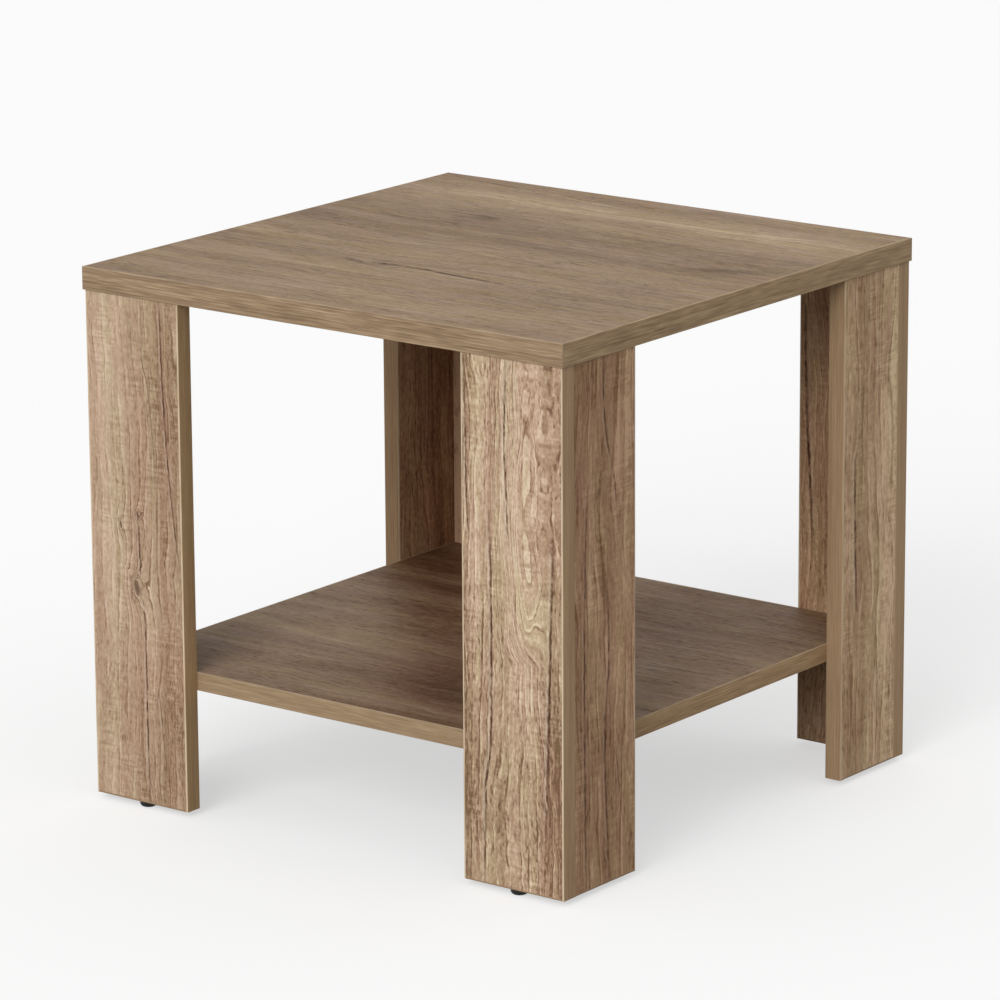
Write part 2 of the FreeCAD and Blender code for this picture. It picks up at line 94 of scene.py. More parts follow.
def linear(hex_colour: str) -> tuple[float, float, float, float]:
    """Turns an sRGB colour to linear light.

    Args:
        hex_colour: the colour as "#rrggbb".

    Returns:
        Red, green, blue and an alpha of one.
    """
    coded = np.array([int(hex_colour[start:start + 2], 16) for start in (1, 3, 5)]) / 255.0
    light = np.where(coded <= 0.04045, coded / 12.92, ((coded + 0.055) / 1.055) ** 2.4)
    return (*(float(level) for level in light), 1.0)


@dataclass(frozen=True)
class Layer:
    """A layer of noise in a print, with its size across, into and along the grain in millimetres of real oak.

    It starts at one level of the noise and is full at another. A coarse layer is drawn larger on a board that
    is seen at a slant, because marks of the real size would be too fine to show there.
    """

    size: Triple
    seed: float
    octaves: int
    start: float = 0.3
    full: float = 0.7
    coarse: bool = False
    roughness: float = 0.5


class Sheet:
    """The node tree of one material or of the world."""

    # One turn of a line: a dark hair, a pale one beside it, then plain ground.
    LINE_PAIR = ((0.0, 0.5), (0.09, 0.0), (0.22, 0.92), (0.45, 0.60), (1.0, 0.5))
    # How far a seed of one moves the noise.
    SEED_STEP = (17.3, 5.1, 31.7)

    def __init__(self, owner: Material | bpy.types.World, seed: float = 0.0, coarseness: float = 1.0,
                 direction: str = "Z") -> None:
        """Empties the owner's tree.

        Args:
            owner: the material or the world.
            seed: the print's own seed.
            coarseness: how many times larger its coarse layers are drawn.
            direction: the axis that its layers run along.
        """
        self.seed = seed
        self.coarseness = coarseness
        self.direction = direction
        owner.use_nodes = True
        self.tree = owner.node_tree
        self.tree.nodes.clear()

    def add(self, kind: str | tuple[str, str], *inputs: Feed, at: dict[str, Feed] | None = None,
            points: Sequence[Point] = (), stops: Sequence[tuple[float, str]] = (),
            **settings: object) -> Socket:
        """Adds a node with its settings and links.

        Args:
            kind: Blender's name for the node, or a pair of that and the node's operation.
            inputs: sockets or values for the node's shown inputs, in their order.
            at: sockets or values for inputs by name.
            points: places on a curve node's line, in rising order.
            stops: places and sRGB colours on a ramp node.
            settings: the node's own properties.

        Returns:
            The node's first shown output.
        """
        if isinstance(kind, tuple):
            kind, settings["operation"] = kind
        node = self.tree.nodes.new(kind)
        for name, value in settings.items():
            setattr(node, name, value)
        shown = [socket for socket in node.inputs if socket.enabled]
        feeds = [*zip(shown, inputs), *((node.inputs[name], value) for name, value in (at or {}).items())]
        for socket, value in feeds:
            if isinstance(value, Socket):
                self.tree.links.new(value, socket)
            else:
                socket.default_value = value
        if points:
            line = node.mapping.curves[0].points
            line[0].location = points[0]
            line[1].location = points[-1]
            for place in points[1:-1]:
                line.new(*place)
            node.mapping.update()
        if stops:
            elements = node.color_ramp.elements
            while len(elements) < len(stops):
                elements.new(1.0)
            for element, (place, colour) in zip(elements, stops):
                element.position = place
                element.color = linear(colour)
        return next(socket for socket in node.outputs if socket.enabled)

    def millimetres(self) -> Socket:
        """Gives the place on the table in millimetres, from Object coordinates."""
        place = self.add("ShaderNodeTexCoord").node.outputs["Object"]
        return self.add((VECTOR, "SCALE"), place, at={"Scale": PER_MM})

    def layer(self, layer: Layer, place: Socket, strength: float = 1.0, shares: Point = (0.0, 1.0)) -> Socket:
        """Lays a layer of noise, drawn out along the sheet's direction.

        Args:
            layer: the layer.
            place: the point, in millimetres.
            strength: the layer's strength.
            shares: how much of it shows where the layer starts and where it is full.

        Returns:
            A value between those two shares of the strength.
        """
        scale = self.coarseness if layer.coarse else 1.0
        stretch = [1.0 / (length * scale) for length in layer.size]
        along = AXES.index(self.direction)
        stretch[along], stretch[-1] = stretch[-1], stretch[along]
        shift = [step * (self.seed + layer.seed) for step in self.SEED_STEP]
        stretched = self.add((VECTOR, "MULTIPLY_ADD"), place, stretch, shift)
        noise = self.add("ShaderNodeTexNoise", stretched, 1.0, layer.octaves, layer.roughness)
        return self.add(RANGE, noise, layer.start, layer.full, *(share * strength for share in shares))

    def line_pairs(self, across: Socket, spacing: float, shift: Socket) -> Socket:
        """Draws dark hairs (-1) and pale ones (1) beside them: one pair to each spacing, moved by a shift."""
        turn = self.add((MATH, "FRACT"), self.add(TIMES_PLUS, across, 1.0 / spacing, shift))
        return self.add(RANGE, self.add(CURVE, 1.0, turn, points=self.LINE_PAIR), 0.0, 1.0, *BOTH_WAYS)

    def coat(self, colour: Socket, roughness: Socket, height: Socket, relief: float,
             plain: dict[str, float]) -> None:
        """Ends a material with its shader.

        Args:
            colour: the colour of the surface.
            roughness: its roughness.
            height: its height, in shares of the relief.
            relief: the height of one share, in millimetres.
            plain: what is the same all over the surface, by the names of the shader's sockets.
        """
        normal = self.add("ShaderNodeBump", at={"Height": height, "Distance": relief * MM, "Strength": 1.0})
        feeds = {"Base Color": colour, "Roughness": roughness, "Normal": normal, **plain}
        self.finish(self.add("ShaderNodeBsdfPrincipled", at=feeds))

    def finish(self, shader: Socket, output: str = "ShaderNodeOutputMaterial") -> None:
        """Links the shader to the tree's output."""
        node = self.tree.nodes.new(output)
        self.tree.links.new(shader, node.inputs["Surface"])


class Grain(Enum):
    """The table's axes that lie across, into and along a decor's grain."""

    UPRIGHT_ON_FACE = ("X", "Y", "Z")
    UPRIGHT_ON_SIDE = ("Y", "X", "Z")
    LEVEL = ("Y", "Z", "X")


@dataclass(frozen=True)
class Crack:
    """A printed drying crack: its way as (along, across) in millimetres, its width and its strength."""

    way: tuple[Point, ...]
    width: float = 1.15
    strength: float = 0.95


@dataclass(frozen=True)
class Streak:
    """A soft streak or painted shade: its way as (along, across) in millimetres, half width and shift of the
    tone.
    """

    way: tuple[Point, ...]
    half_width: float
    shift: float


@dataclass(frozen=True)
class Knot:
    """A printed knot: its place, the half sizes of its eye and its lift of the fibres, in millimetres."""

    across: float
    along: float
    half_width: float
    half_length: float
    darkness: float
    swell: float


@dataclass(frozen=True)
class Heart:
    """A nest of long rings: a ridge in the fibres that rises fast at its lower end and then stays high."""

    across: float
    along: float
    half_width: float = 17.0
    length: float = 48.0
    rise: float = 42.0


@dataclass(frozen=True)
class Palette:
    """The tones of a decor as sRGB hex values, from its dark lines to its pale flecks, and its two tints."""

    line: str
    dark: str
    middle: str
    pale: str
    fleck: str
    crack: str = "#472a1b"
    straw: str = "#fffae9"
    pink: str = "#fff1e8"


CREAM_OAK = Palette("#755d4a", "#99826d", "#b39e89", "#cabaa5", "#dfd4c0")
TAN_OAK = Palette("#765e4b", "#947c68", "#ab9682", "#bcaa97", "#d0bfae")
STRAW_OAK = Palette("#8b7157", "#a48a70", "#b59d82", "#cbb499", "#e0ccb1")
UMBER_OAK = Palette("#775941", "#8f725a", "#a0836b", "#b1957b", "#c8ac93")
GREY_OAK = Palette("#5f4a36", "#78634d", "#8d7760", "#a08b73", "#b7a48a", straw="#fffbe9", pink="#fff8f8")
BROWN_OAK = Palette("#503420", "#6e523d", "#846c57", "#99836b", "#b09c82", straw="#fffbec", pink="#fff6f4")
# Painted shade: a darker, redder copy of the oak for the back-left side board, whose inner face stands in
# shade.
SHADE_DARKENED_OAK = Palette("#4c301f", "#6f4e38", "#86674f", "#9d8065", "#b49a7c")


@dataclass(frozen=True)
class PrintStyle:
    """How strong each layer of a decor is, as a share of the way from its darkest to its palest tone.

    The widths of planks and growth lines, the curl and the emboss are millimetres. A board that is seen at a
    slant has a coarseness over one, because lines of the real size would be too fine to show there.
    """

    zone: float = 0.10
    figure: float = 0.13
    growth: float = 0.38
    hair: float = 0.13
    pore: float = 0.28
    fleck: float = 0.16
    speckle: float = 0.12
    saw_marks: float = 0.10
    plank_width: float = 13.0
    growth_width: float = 8.5
    curl: float = 3.6
    coarseness: float = 1.0
    emboss: float = 0.16

    def figure_layer(self) -> Layer:
        """Gives the long broad figure that makes the board look glued up from planks."""
        return Layer((self.plank_width, 30, 380), 2.0, 3, roughness=0.55)


FACE_STYLE = PrintStyle()
SAWN_STYLE = PrintStyle(growth=0.29, hair=0.06, pore=0.19, fleck=0.10, saw_marks=0.13)
SIDE_STYLE = PrintStyle(zone=0.19, figure=0.26, hair=0.11, fleck=0.1, saw_marks=0.14, plank_width=22.0,
                        coarseness=1.4)
# The calm style, with little contrast, is part of the painted shade on the back-left side board's inner face.
CALM_STYLE = PrintStyle(zone=0.15, figure=0.22, growth=0.24, hair=0.07, pore=0.17, fleck=0.0, saw_marks=0.05,
                        plank_width=22.0, coarseness=1.4)
TOP_STYLE = PrintStyle(zone=0.08, growth=0.16, hair=0.07, pore=0.18, fleck=0.06, speckle=0.07, saw_marks=0.02,
                       plank_width=24.0, curl=4.4, coarseness=1.3, emboss=0.06)
SHELF_STYLE = PrintStyle(zone=0.09, figure=0.15, growth=0.11, hair=0.06, pore=0.19, fleck=0.06, speckle=0.07,
                         saw_marks=0.02, plank_width=26.0, curl=4.4, coarseness=1.3, emboss=0.06)


@dataclass(frozen=True)
class OakDecor:
    """Melamine paper printed as rustic oak and pressed on chipboard with an embossed plate.

    The print gives growth lines, each a dark line with a pale one beside it, short dark pores, pale flecks,
    faint saw marks, knots and drying cracks, on a ground that drifts between straw and pink. The plate
    presses the lines and cracks in a little, so they catch the light; the resin leaves a satin, slightly
    uneven sheen.

    Planks and lengths shift the tone by place across and along the board, as (millimetres, shift); the
    shelf's lengths and the back-left side board's planks are painted shade. Streaks follow the fibres;
    painted shades are broad painted shade that lies straight on the board. The hidden painted light is a
    shift of the tone on the side that isn't meant to show: painted light on the inner faces of the back
    face boards, and a lift of the back-left side board's outer face out of its painted shade.
    """

    board: str
    grain: Grain
    seed: float
    palette: Palette
    style: PrintStyle = FACE_STYLE
    planks: tuple[Point, ...] = ()
    lengths: tuple[Point, ...] = ()
    streaks: tuple[Streak, ...] = ()
    painted_shades: tuple[Streak, ...] = ()
    cracks: tuple[Crack, ...] = ()
    knots: tuple[Knot, ...] = ()
    heart: Heart | None = None
    shows_high_side: bool = False
    # Painted light: a lift of the tone on the side that isn't meant to show.
    hidden_painted_light: float = 0.0

    def material(self, box: Box) -> Material:
        """Builds the board's material.

        Args:
            box: the board's lowest and highest corner, in millimetres.

        Returns:
            The material, with its patterns on Object coordinates.
        """
        material = bpy.data.materials.new(f"embossed_oak_melamine_{self.board}")
        OakPrint(material, self, box).press()
        return material


class OakPrint(Sheet):
    """The sheet of one board's decor.

    A point on the board has distances across, into and along the grain. The hidden side of the board carries
    another length of the print, so there the distance across is mirrored.
    """

    # How the fibres run.
    WANDER = Layer((60, 60, 170), 0.0, 2, 0.0, 1.0)
    RIPPLE = Layer((9, 9, 20), 1.0, 2, 0.0, 1.0, coarse=True)
    CURL = Layer((30, 30, 70), 1.2, 0, 0.42, 0.68)
    LEAN = Layer((30, 30, 40), 1.7, 2, 0.0, 1.0)
    # The ground and its tints.
    ZONES = Layer((45, 45, 130), 1.5, 2)
    HAIRS = Layer((2.6, 2.6, 22), 4.0, 1, coarse=True)
    SPECKLE = Layer((1.8, 1.8, 3.4), 5.5, 1, coarse=True)
    TINT = Layer((13, 30, 150), 8.5, 2, 0.38, 0.62)
    SHEEN = Layer((6, 6, 40), 9.0, 3)
    # The marks that the plate presses in; pores crowd where the zones of the ground are dark.
    SPACING = Layer((15, 15, 180), 3.0, 2, 0.0, 1.0, coarse=True)
    STRETCHES = Layer((10, 10, 30), 3.5, 2, 0.38, 0.62, coarse=True)
    PORES = Layer((1.8, 1.8, 9), 5.0, 1, 0.56, 0.67, coarse=True)
    CROWDING = Layer((45, 45, 130), 1.5, 2, 0.38, 0.62)
    FLECKS = Layer((2, 2, 8), 5.2, 1, 0.56, 0.66, coarse=True)
    SAW_PATCHES = Layer((18, 40, 60), 6.0, 1, 0.46, 0.62)
    SAW_MARKS = Layer((20, 20, 2.4), 7.0, 1, 0.34, 0.66)
    # Knots and cracks; the knot's rim is in shares of the knot's own size.
    KNOT_RIM = Layer((0.9, 0.9, 0.9), 6.5, 2, 0.0, 1.0)
    JITTER = Layer((30, 30, 9), 7.0, 4, 0.0, 1.0, roughness=0.7)
    BREAKS = Layer((8, 8, 11), 8.0, 3, 0.36, 0.58)

    # Curves along a crack, along a streak and up the heart's ridge.
    TAPER = ((0.0, 0.0), (0.1, 0.75), (0.5, 1.0), (0.9, 0.75), (1.0, 0.0))
    FADE = ((0.0, 0.0), (0.25, 0.5), (0.5, 1.0), (0.75, 0.5), (1.0, 0.0))
    RIDGE = ((0.0, 0.0), (0.25, 0.75), (0.6, 1.0), (1.0, 0.95))
    RIDGE_LENGTHS = 4.0

    # How far the fibres wander and lean, in millimetres, and how far they ripple, as a share of the curl.
    WANDER_REACH = 14.0
    LEAN_REACH = 6.0
    RIPPLE_REACH = 0.5
    # How many lines crowd together.
    MOST_CROWDED = 2.4
    # The shares of their strength between which curl, pores, growth lines and cracks vary.
    CURL_SHARES = (0.4, 1.8)
    PORE_SHARES = (1.4, 0.6)
    LINE_SHARES = (0.15, 1.0)
    CRACK_SHARES = (0.3, 1.0)
    # A knot's pull on the fibres fades over its own size; its bold rings reach further.
    KNOT_FADE = -0.8
    KNOT_HALO = 3.5
    HALO_STRENGTH = 1.1
    RIM_REACH = 0.9
    # A knot's dark eye and rim: middle, half width and share of its darkness.
    KNOT_RINGS = ((0.0, 0.9, 1.0), (1.25, 0.25, 0.4))
    KNOT_DEPTH = -0.1
    # A crack's jagged line, and the offset in widths, strength and height of its pale lip and its dark gap;
    # the pale lip is painted highlight, on an edge pressed up a little.
    JAG_REACH = 1.3
    PAINTED_HIGHLIGHT_LIP = (1.7, 0.35, 0.1)
    GAP = (0.0, 1.0, -0.2)
    # The share of a mark's width that is at full strength.
    CORE = 0.3
    # The largest shift in a profile, and the room that a way's curve keeps on both sides, in millimetres.
    PROFILE_REACH = 0.5
    WAY_MARGIN = 1.0
    TONE_PLACES = (0.0, 0.25, 0.5, 0.75, 1.0)
    MIDDLE_TONE = 0.5
    SATIN = (0.50, 0.66)
    RESIN = {"IOR": 1.48, "Specular IOR Level": 0.15}

    def __init__(self, material: Material, decor: OakDecor, box: Box) -> None:
        """Finds the distances on the board, the knots and the fibre at a point.

        Args:
            material: the board's material.
            decor: what is printed.
            box: the board's lowest and highest corner, in millimetres.
        """
        super().__init__(material, decor.seed, decor.style.coarseness)
        self.decor = decor
        self.style = decor.style
        split = self.add(SEPARATE, self.millimetres()).node.outputs
        across, self.depth, self.along = (split[axis] for axis in decor.grain.value)
        edge_sum, depth_sum = ((box[0] + box[1])[AXES.index(axis)] for axis in decor.grain.value[:2])
        test = "LESS_THAN" if decor.shows_high_side else "GREATER_THAN"
        self.hidden = self.add((MATH, test), self.depth, depth_sum / 2)
        self.across = self.add(MIX, self.hidden, across, self.add(MINUS, edge_sum, across))
        self.place = self.add(COMBINE, self.across, self.depth, self.along)
        self.flat = self.add(COMBINE, self.across, 0.0, self.along)
        self.eyes = [(knot, self.knot_distance(knot)) for knot in decor.knots]
        self.fibre = self.fibre_line()
        self.flow = self.add(COMBINE, self.fibre, self.depth, self.along)

    def press(self) -> None:
        """Prints the figure in the palette's tones, then the knots and cracks, under a satin resin."""
        # The ground tone carries the decor's painted shade and light; the cracks carry a painted highlight on
        # their lips.
        inks = self.decor.palette
        marks = self.pressed_marks()
        tones = zip(self.TONE_PLACES, (inks.line, inks.dark, inks.middle, inks.pale, inks.fleck))
        colour = self.add(RAMP, self.add(PLUS, self.ground_tone(), marks), stops=list(tones))
        tint = self.add(RAMP, self.layer(self.TINT, self.flow), stops=((0.0, inks.straw), (1.0, inks.pink)))
        self.colour = self.add(MIX, 1.0, colour, tint, data_type="RGBA", blend_type="MULTIPLY")
        self.relief = self.add(TIMES, marks, self.style.emboss)
        self.print_knots()
        self.print_cracks()
        roughness = self.layer(self.SHEEN, self.place, shares=self.SATIN)
        self.coat(self.colour, roughness, self.relief, 1.0, self.RESIN)

    def bell(self, distance: Socket) -> Socket:
        """Gives exp(-distance squared)."""
        square = self.add(TIMES, distance, distance)
        return self.add(EXPONENT, self.add(TIMES, square, -1.0))

    def fading(self, offset: Socket, core: float, width: float, strength: float) -> Socket:
        """Fades a strength smoothly to nought between two distances from a line."""
        return self.add(RANGE, self.add(SIZE_OF, offset), core, width, strength, 0.0,
                        interpolation_type="SMOOTHSTEP")

    def knot_distance(self, knot: Knot) -> Socket:
        """Measures from a knot's middle, in its half sizes: the length of the offset plus an uneven rim.

        Args:
            knot: the knot.

        Returns:
            The distance, where one is about the rim of the eye.
        """
        offset = self.add((VECTOR, "SUBTRACT"), self.flat, (knot.across, 0.0, knot.along))
        scaled = self.add((VECTOR, "DIVIDE"), offset, (knot.half_width, 1.0, knot.half_length))
        distance = self.add((VECTOR, "LENGTH"), scaled).node.outputs["Value"]
        return self.add(PLUS, distance, self.layer(self.KNOT_RIM, scaled, self.RIM_REACH, BOTH_WAYS))

    def fibre_line(self) -> Socket:
        """Bends the fibres: they wander and ripple, and close in rings round each knot and round the heart.

        The fibre at a point is named by the distance across at which it would lie on a straight board. A knot
        lifts that name by its swell times exp(-0.8 r), where r is the distance from the knot; the heart lifts
        it by its rise times exp(-x squared), where x is the distance from the ridge in its half widths, times
        a curve that rises fast along the ridge's first quarter and then stays high.

        Returns:
            The fibre's name, in millimetres.
        """
        add, heart = self.add, self.decor.heart
        wander = self.layer(self.WANDER, self.place, self.WANDER_REACH, BOTH_WAYS)
        curl = self.layer(self.CURL, self.place, self.style.curl, self.CURL_SHARES)
        ripple = self.layer(self.RIPPLE, self.place, self.RIPPLE_REACH, BOTH_WAYS)
        fibre = add(TIMES_PLUS, ripple, curl, add(PLUS, self.across, wander))
        for knot, distance in self.eyes:
            lift = add(EXPONENT, add(TIMES, distance, self.KNOT_FADE))
            fibre = add(TIMES_PLUS, lift, knot.swell, fibre)
        if heart:
            lean = self.layer(self.LEAN, self.place, self.LEAN_REACH, BOTH_WAYS)
            aside = add(MINUS, add(PLUS, self.across, lean), heart.across)
            ridge = self.bell(add(OVER, aside, heart.half_width))
            foot = heart.along - heart.length
            part = add(RANGE, self.along, foot, foot + self.RIDGE_LENGTHS * heart.length)
            rise = add(TIMES, add(CURVE, 1.0, part, points=self.RIDGE), heart.rise)
            fibre = add(TIMES_PLUS, ridge, rise, fibre)
        return fibre

    def pressed_marks(self) -> Socket:
        """Draws what the plate presses in: pores, growth lines, flecks and, in patches, saw marks.

        Returns:
            A shift of the tone, down in the dark marks and up in the pale ones.
        """
        add, style = self.add, self.style
        crowding = self.layer(self.CROWDING, self.place, style.pore, self.PORE_SHARES)
        pores = add(TIMES, self.layer(self.PORES, self.flow, -1.0), crowding)
        flecks = self.layer(self.FLECKS, self.flow, style.fleck)
        marks = add(PLUS, pores, add(PLUS, self.growth_lines(), flecks))
        patches = self.layer(self.SAW_PATCHES, self.place, style.saw_marks)
        saw_marks = self.layer(self.SAW_MARKS, self.place, shares=BOTH_WAYS)
        return add(TIMES_PLUS, saw_marks, patches, marks)

    def growth_lines(self) -> Socket:
        """Draws the growth lines, stronger on some stretches of the board and boldest round a knot.

        Returns:
            A shift of the tone, down in the dark hairs and up in the pale ones.
        """
        style = self.style
        shift = self.layer(self.SPACING, self.flow, self.MOST_CROWDED)
        pairs = self.line_pairs(self.fibre, style.growth_width * style.coarseness, shift)
        strength = self.layer(self.STRETCHES, self.flat, style.growth, self.LINE_SHARES)
        for _, distance in self.eyes:
            halo = self.bell(self.add(OVER, distance, self.KNOT_HALO))
            strength = self.add(TIMES_PLUS, halo, self.HALO_STRENGTH * style.growth, strength)
        return self.add(TIMES, pairs, strength)

    def ground_tone(self) -> Socket:
        """Sums the ground's noises, its profiles across and along the board, its streaks and painted shades.

        Returns:
            The tone, where nought is the palette's dark line and one its pale fleck.
        """
        add, decor, style = self.add, self.decor, self.style
        # The hidden side's painted light lifts its tone here.
        tone = add(TIMES_PLUS, self.hidden, decor.hidden_painted_light, self.MIDDLE_TONE)
        for layer, swing, place in ((self.ZONES, style.zone, self.place), (self.HAIRS, style.hair, self.flow),
                                    (style.figure_layer(), style.figure, self.flow),
                                    (self.SPECKLE, style.speckle, self.place)):
            tone = add(PLUS, self.layer(layer, place, swing, BOTH_WAYS), tone)
        for profile, distance in ((decor.planks, self.across), (decor.lengths, self.along)):
            if profile:
                shift = self.curve_through(distance, profile, -self.PROFILE_REACH, self.PROFILE_REACH)
                tone = add(PLUS, shift, tone)
        # Streaks follow the fibres as print; the painted shades are broad painted shade, measured straight
        # across.
        for streaks, line in ((decor.streaks, self.fibre), (decor.painted_shades, self.across)):
            for streak in streaks:
                aside, fade = self.beside_way(line, streak.way, self.FADE)
                tone = add(TIMES_PLUS, self.fading(aside, 0.0, streak.half_width, streak.shift), fade, tone)
        return tone

    def curve_through(self, distance: Socket, places: Sequence[Point], low: float, high: float) -> Socket:
        """Draws a smooth curve through a few places on the board.

        Args:
            distance: distance across or along the grain, in millimetres.
            places: (distance, value), in rising order.
            low: a value under all of them.
            high: a value over all of them.

        Returns:
            The curve's value at the distance.
        """
        start, end = places[0][0], places[-1][0]
        points = [((place - start) / (end - start), (value - low) / (high - low)) for place, value in places]
        part = self.add(RANGE, distance, start, end)
        return self.add(RANGE, self.add(CURVE, 1.0, part, points=points), 0.0, 1.0, low, high)

    def beside_way(self, line: Socket, way: Sequence[Point], ends: Sequence[Point]) -> tuple[Socket, Socket]:
        """Measures how far a point lies aside from a way: its distance across less a curve through the way.

        Args:
            line: the point's distance across.
            way: places as (along, across), in millimetres.
            ends: a curve that is one at the way's middle and nought at its ends.

        Returns:
            The distance aside, and the curve of the ends.
        """
        way = sorted(way)
        sides = sorted(side for _, side in way)
        centre = self.curve_through(self.along, way, sides[0] - self.WAY_MARGIN, sides[-1] + self.WAY_MARGIN)
        part = self.add(RANGE, self.along, way[0][0], way[-1][0])
        return self.add(MINUS, line, centre), self.add(CURVE, 1.0, part, points=ends)

    def mark_beside_line(self, offset: Socket, width: float, strength: float, mark_colour: str, height: float,
              shown: Feed = 1.0) -> None:
        """Mixes a colour in beside a line and presses it in or out there, for print and for painted highlight.

        Args:
            offset: distance from the line.
            width: the distance at which the mark ends.
            strength: the mark's strength on the line.
            mark_colour: its sRGB colour.
            height: the relief at full strength, in millimetres.
            shown: the share of it that shows at the point.
        """
        mask = self.add(TIMES, self.fading(offset, self.CORE * width, width, strength), shown)
        self.colour = self.add(MIX, mask, self.colour, linear(mark_colour), data_type="RGBA")
        self.relief = self.add(TIMES_PLUS, mask, height, self.relief)

    def print_knots(self) -> None:
        """Darkens each knot's eye and its rim."""
        for knot, distance in self.eyes:
            for middle, width, share in self.KNOT_RINGS:
                ring = self.add(MINUS, distance, middle)
                self.mark_beside_line(ring, width, share * knot.darkness, self.decor.palette.crack, self.KNOT_DEPTH)

    def print_cracks(self) -> None:
        """Draws each crack along its jagged, broken line: a pale lip of painted highlight, and a dark gap over
        it.
        """
        inks = self.decor.palette
        jagged = self.add(PLUS, self.across, self.layer(self.JITTER, self.place, self.JAG_REACH, BOTH_WAYS))
        breaks = self.layer(self.BREAKS, self.place, shares=self.CRACK_SHARES)
        for crack in self.decor.cracks:
            aside, taper = self.beside_way(jagged, crack.way, self.TAPER)
            shown = self.add(TIMES, taper, breaks)
            # The pale lip is painted highlight in the palette's fleck colour, on an edge raised a little in the
            # relief.
            for (offset, share, height), mark_colour in ((self.PAINTED_HIGHLIGHT_LIP, inks.fleck), (self.GAP, inks.crack)):
                line = self.add(PLUS, aside, offset * crack.width)
                self.mark_beside_line(line, crack.width, share * crack.strength, mark_colour, height, shown)


class BandTone(Enum):
    """The prints of the bands: sRGB hex values from dark to pale, then the strength of lines and dashes."""

    LINED_OAK = ("#665135", "#89725a", "#9d8569", "#bfa78b", 0.29, 0.17)
    WARM_LINED_OAK = ("#6d5737", "#937a5d", "#a88e6c", "#ccb38f", 0.20, 0.18)
    FAINT_OAK = ("#6f5a3f", "#8e775b", "#a1896c", "#bba488", 0.14, 0.13)
    WARM_FAINT_OAK = ("#755c3d", "#957958", "#a98c69", "#c4a784", 0.18, 0.15)
    # Painted light: paler than the plain print, lifting the front-left leg's shaded inner band; also more
    # olive.
    OLIVE_OAK = ("#886c4a", "#a68862", "#bb9c74", "#cdb289", 0.18, 0.06)
    PLAIN_OAK = ("#7e6347", "#9b7e60", "#b09372", "#c4a988", 0.18, 0.06)
    # Painted shade: a darker copy of the plain print, for the back-left leg, which stands in the top's shadow,
    # and the feet.
    SHADED_OAK = ("#6e563c", "#886c51", "#9b7f60", "#ae9373", 0.18, 0.06)


@dataclass(frozen=True)
class PrintedBand:
    """ABS edge band, extruded and printed with straight oak lines, its arrises scraped after gluing.

    The print runs straight along the band in fine olive-brown lines. Scraping bares the cream plastic on the
    arrises and the cut ends, which reads as a pale outline on the boards.
    """

    direction: str
    tone: BandTone
    bareness: float
    bare: str = "#dccbb1"

    GROUND = Layer((5, 5, 160), 3.0, 2)
    SPACING = Layer((6, 6, 90), 4.0, 2, 0.0, 1.0)
    STRETCHES = Layer((4, 4, 34), 6.0, 1, 0.36, 0.6)
    DASHES = Layer((1.6, 1.6, 24), 7.0, 1, 0.32, 0.68)
    WEAR = Layer((3, 3, 30), 5.0, 3, 0.3, 0.55)
    LINE_SPACING = 2.7
    MOST_CROWDED = 1.7
    LINE_SHARES = (0.3, 1.0)
    WEAR_SHARES = (0.45, 1.0)
    GROUND_TONES = (0.38, 0.59)
    TONE_PLACES = (0.0, 0.36, 0.64, 1.0)
    RELIEF = 0.08
    DULLNESS = (0.62, 0.52)
    PLASTIC = {"IOR": 1.53, "Specular IOR Level": 0.15}

    @cache
    def material(self) -> Material:
        """Builds the band's material, once for all bands of its kind.

        Returns:
            The material, with its lines on Object coordinates and its arrises from the piece's attribute.
        """
        bared_share = round(100 * self.bareness)
        name = f"printed_abs_{self.tone.name.lower()}_{self.direction.lower()}_{bared_share}"
        material = bpy.data.materials.new(name)
        *tones, line_strength, dash_strength = self.tone.value
        sheet = Sheet(material, direction=self.direction)
        place = sheet.millimetres()
        split = sheet.add(SEPARATE, place).node.outputs
        across = sheet.add(PLUS, *(split[axis] for axis in AXES if axis != self.direction))
        shift = sheet.layer(self.SPACING, place, self.MOST_CROWDED)
        lines = sheet.line_pairs(across, self.LINE_SPACING, shift)
        shown = sheet.layer(self.STRETCHES, place, line_strength, self.LINE_SHARES)
        dashes = sheet.layer(self.DASHES, place, dash_strength, BOTH_WAYS)
        relief = sheet.add(TIMES_PLUS, lines, shown, dashes)
        tone = sheet.add(PLUS, sheet.layer(self.GROUND, place, shares=self.GROUND_TONES), relief)
        colour = sheet.add(RAMP, tone, stops=list(zip(self.TONE_PLACES, tones)))
        arris = sheet.add("ShaderNodeAttribute", attribute_name=EdgeBand.ARRIS).node.outputs["Fac"]
        bared = sheet.add(TIMES, arris, sheet.layer(self.WEAR, place, self.bareness, self.WEAR_SHARES))
        colour = sheet.add(MIX, bared, colour, linear(self.bare), data_type="RGBA")
        roughness = sheet.add(RANGE, lines, *BOTH_WAYS, *self.DULLNESS)
        sheet.coat(colour, roughness, relief, self.RELIEF, self.PLASTIC)
        return material


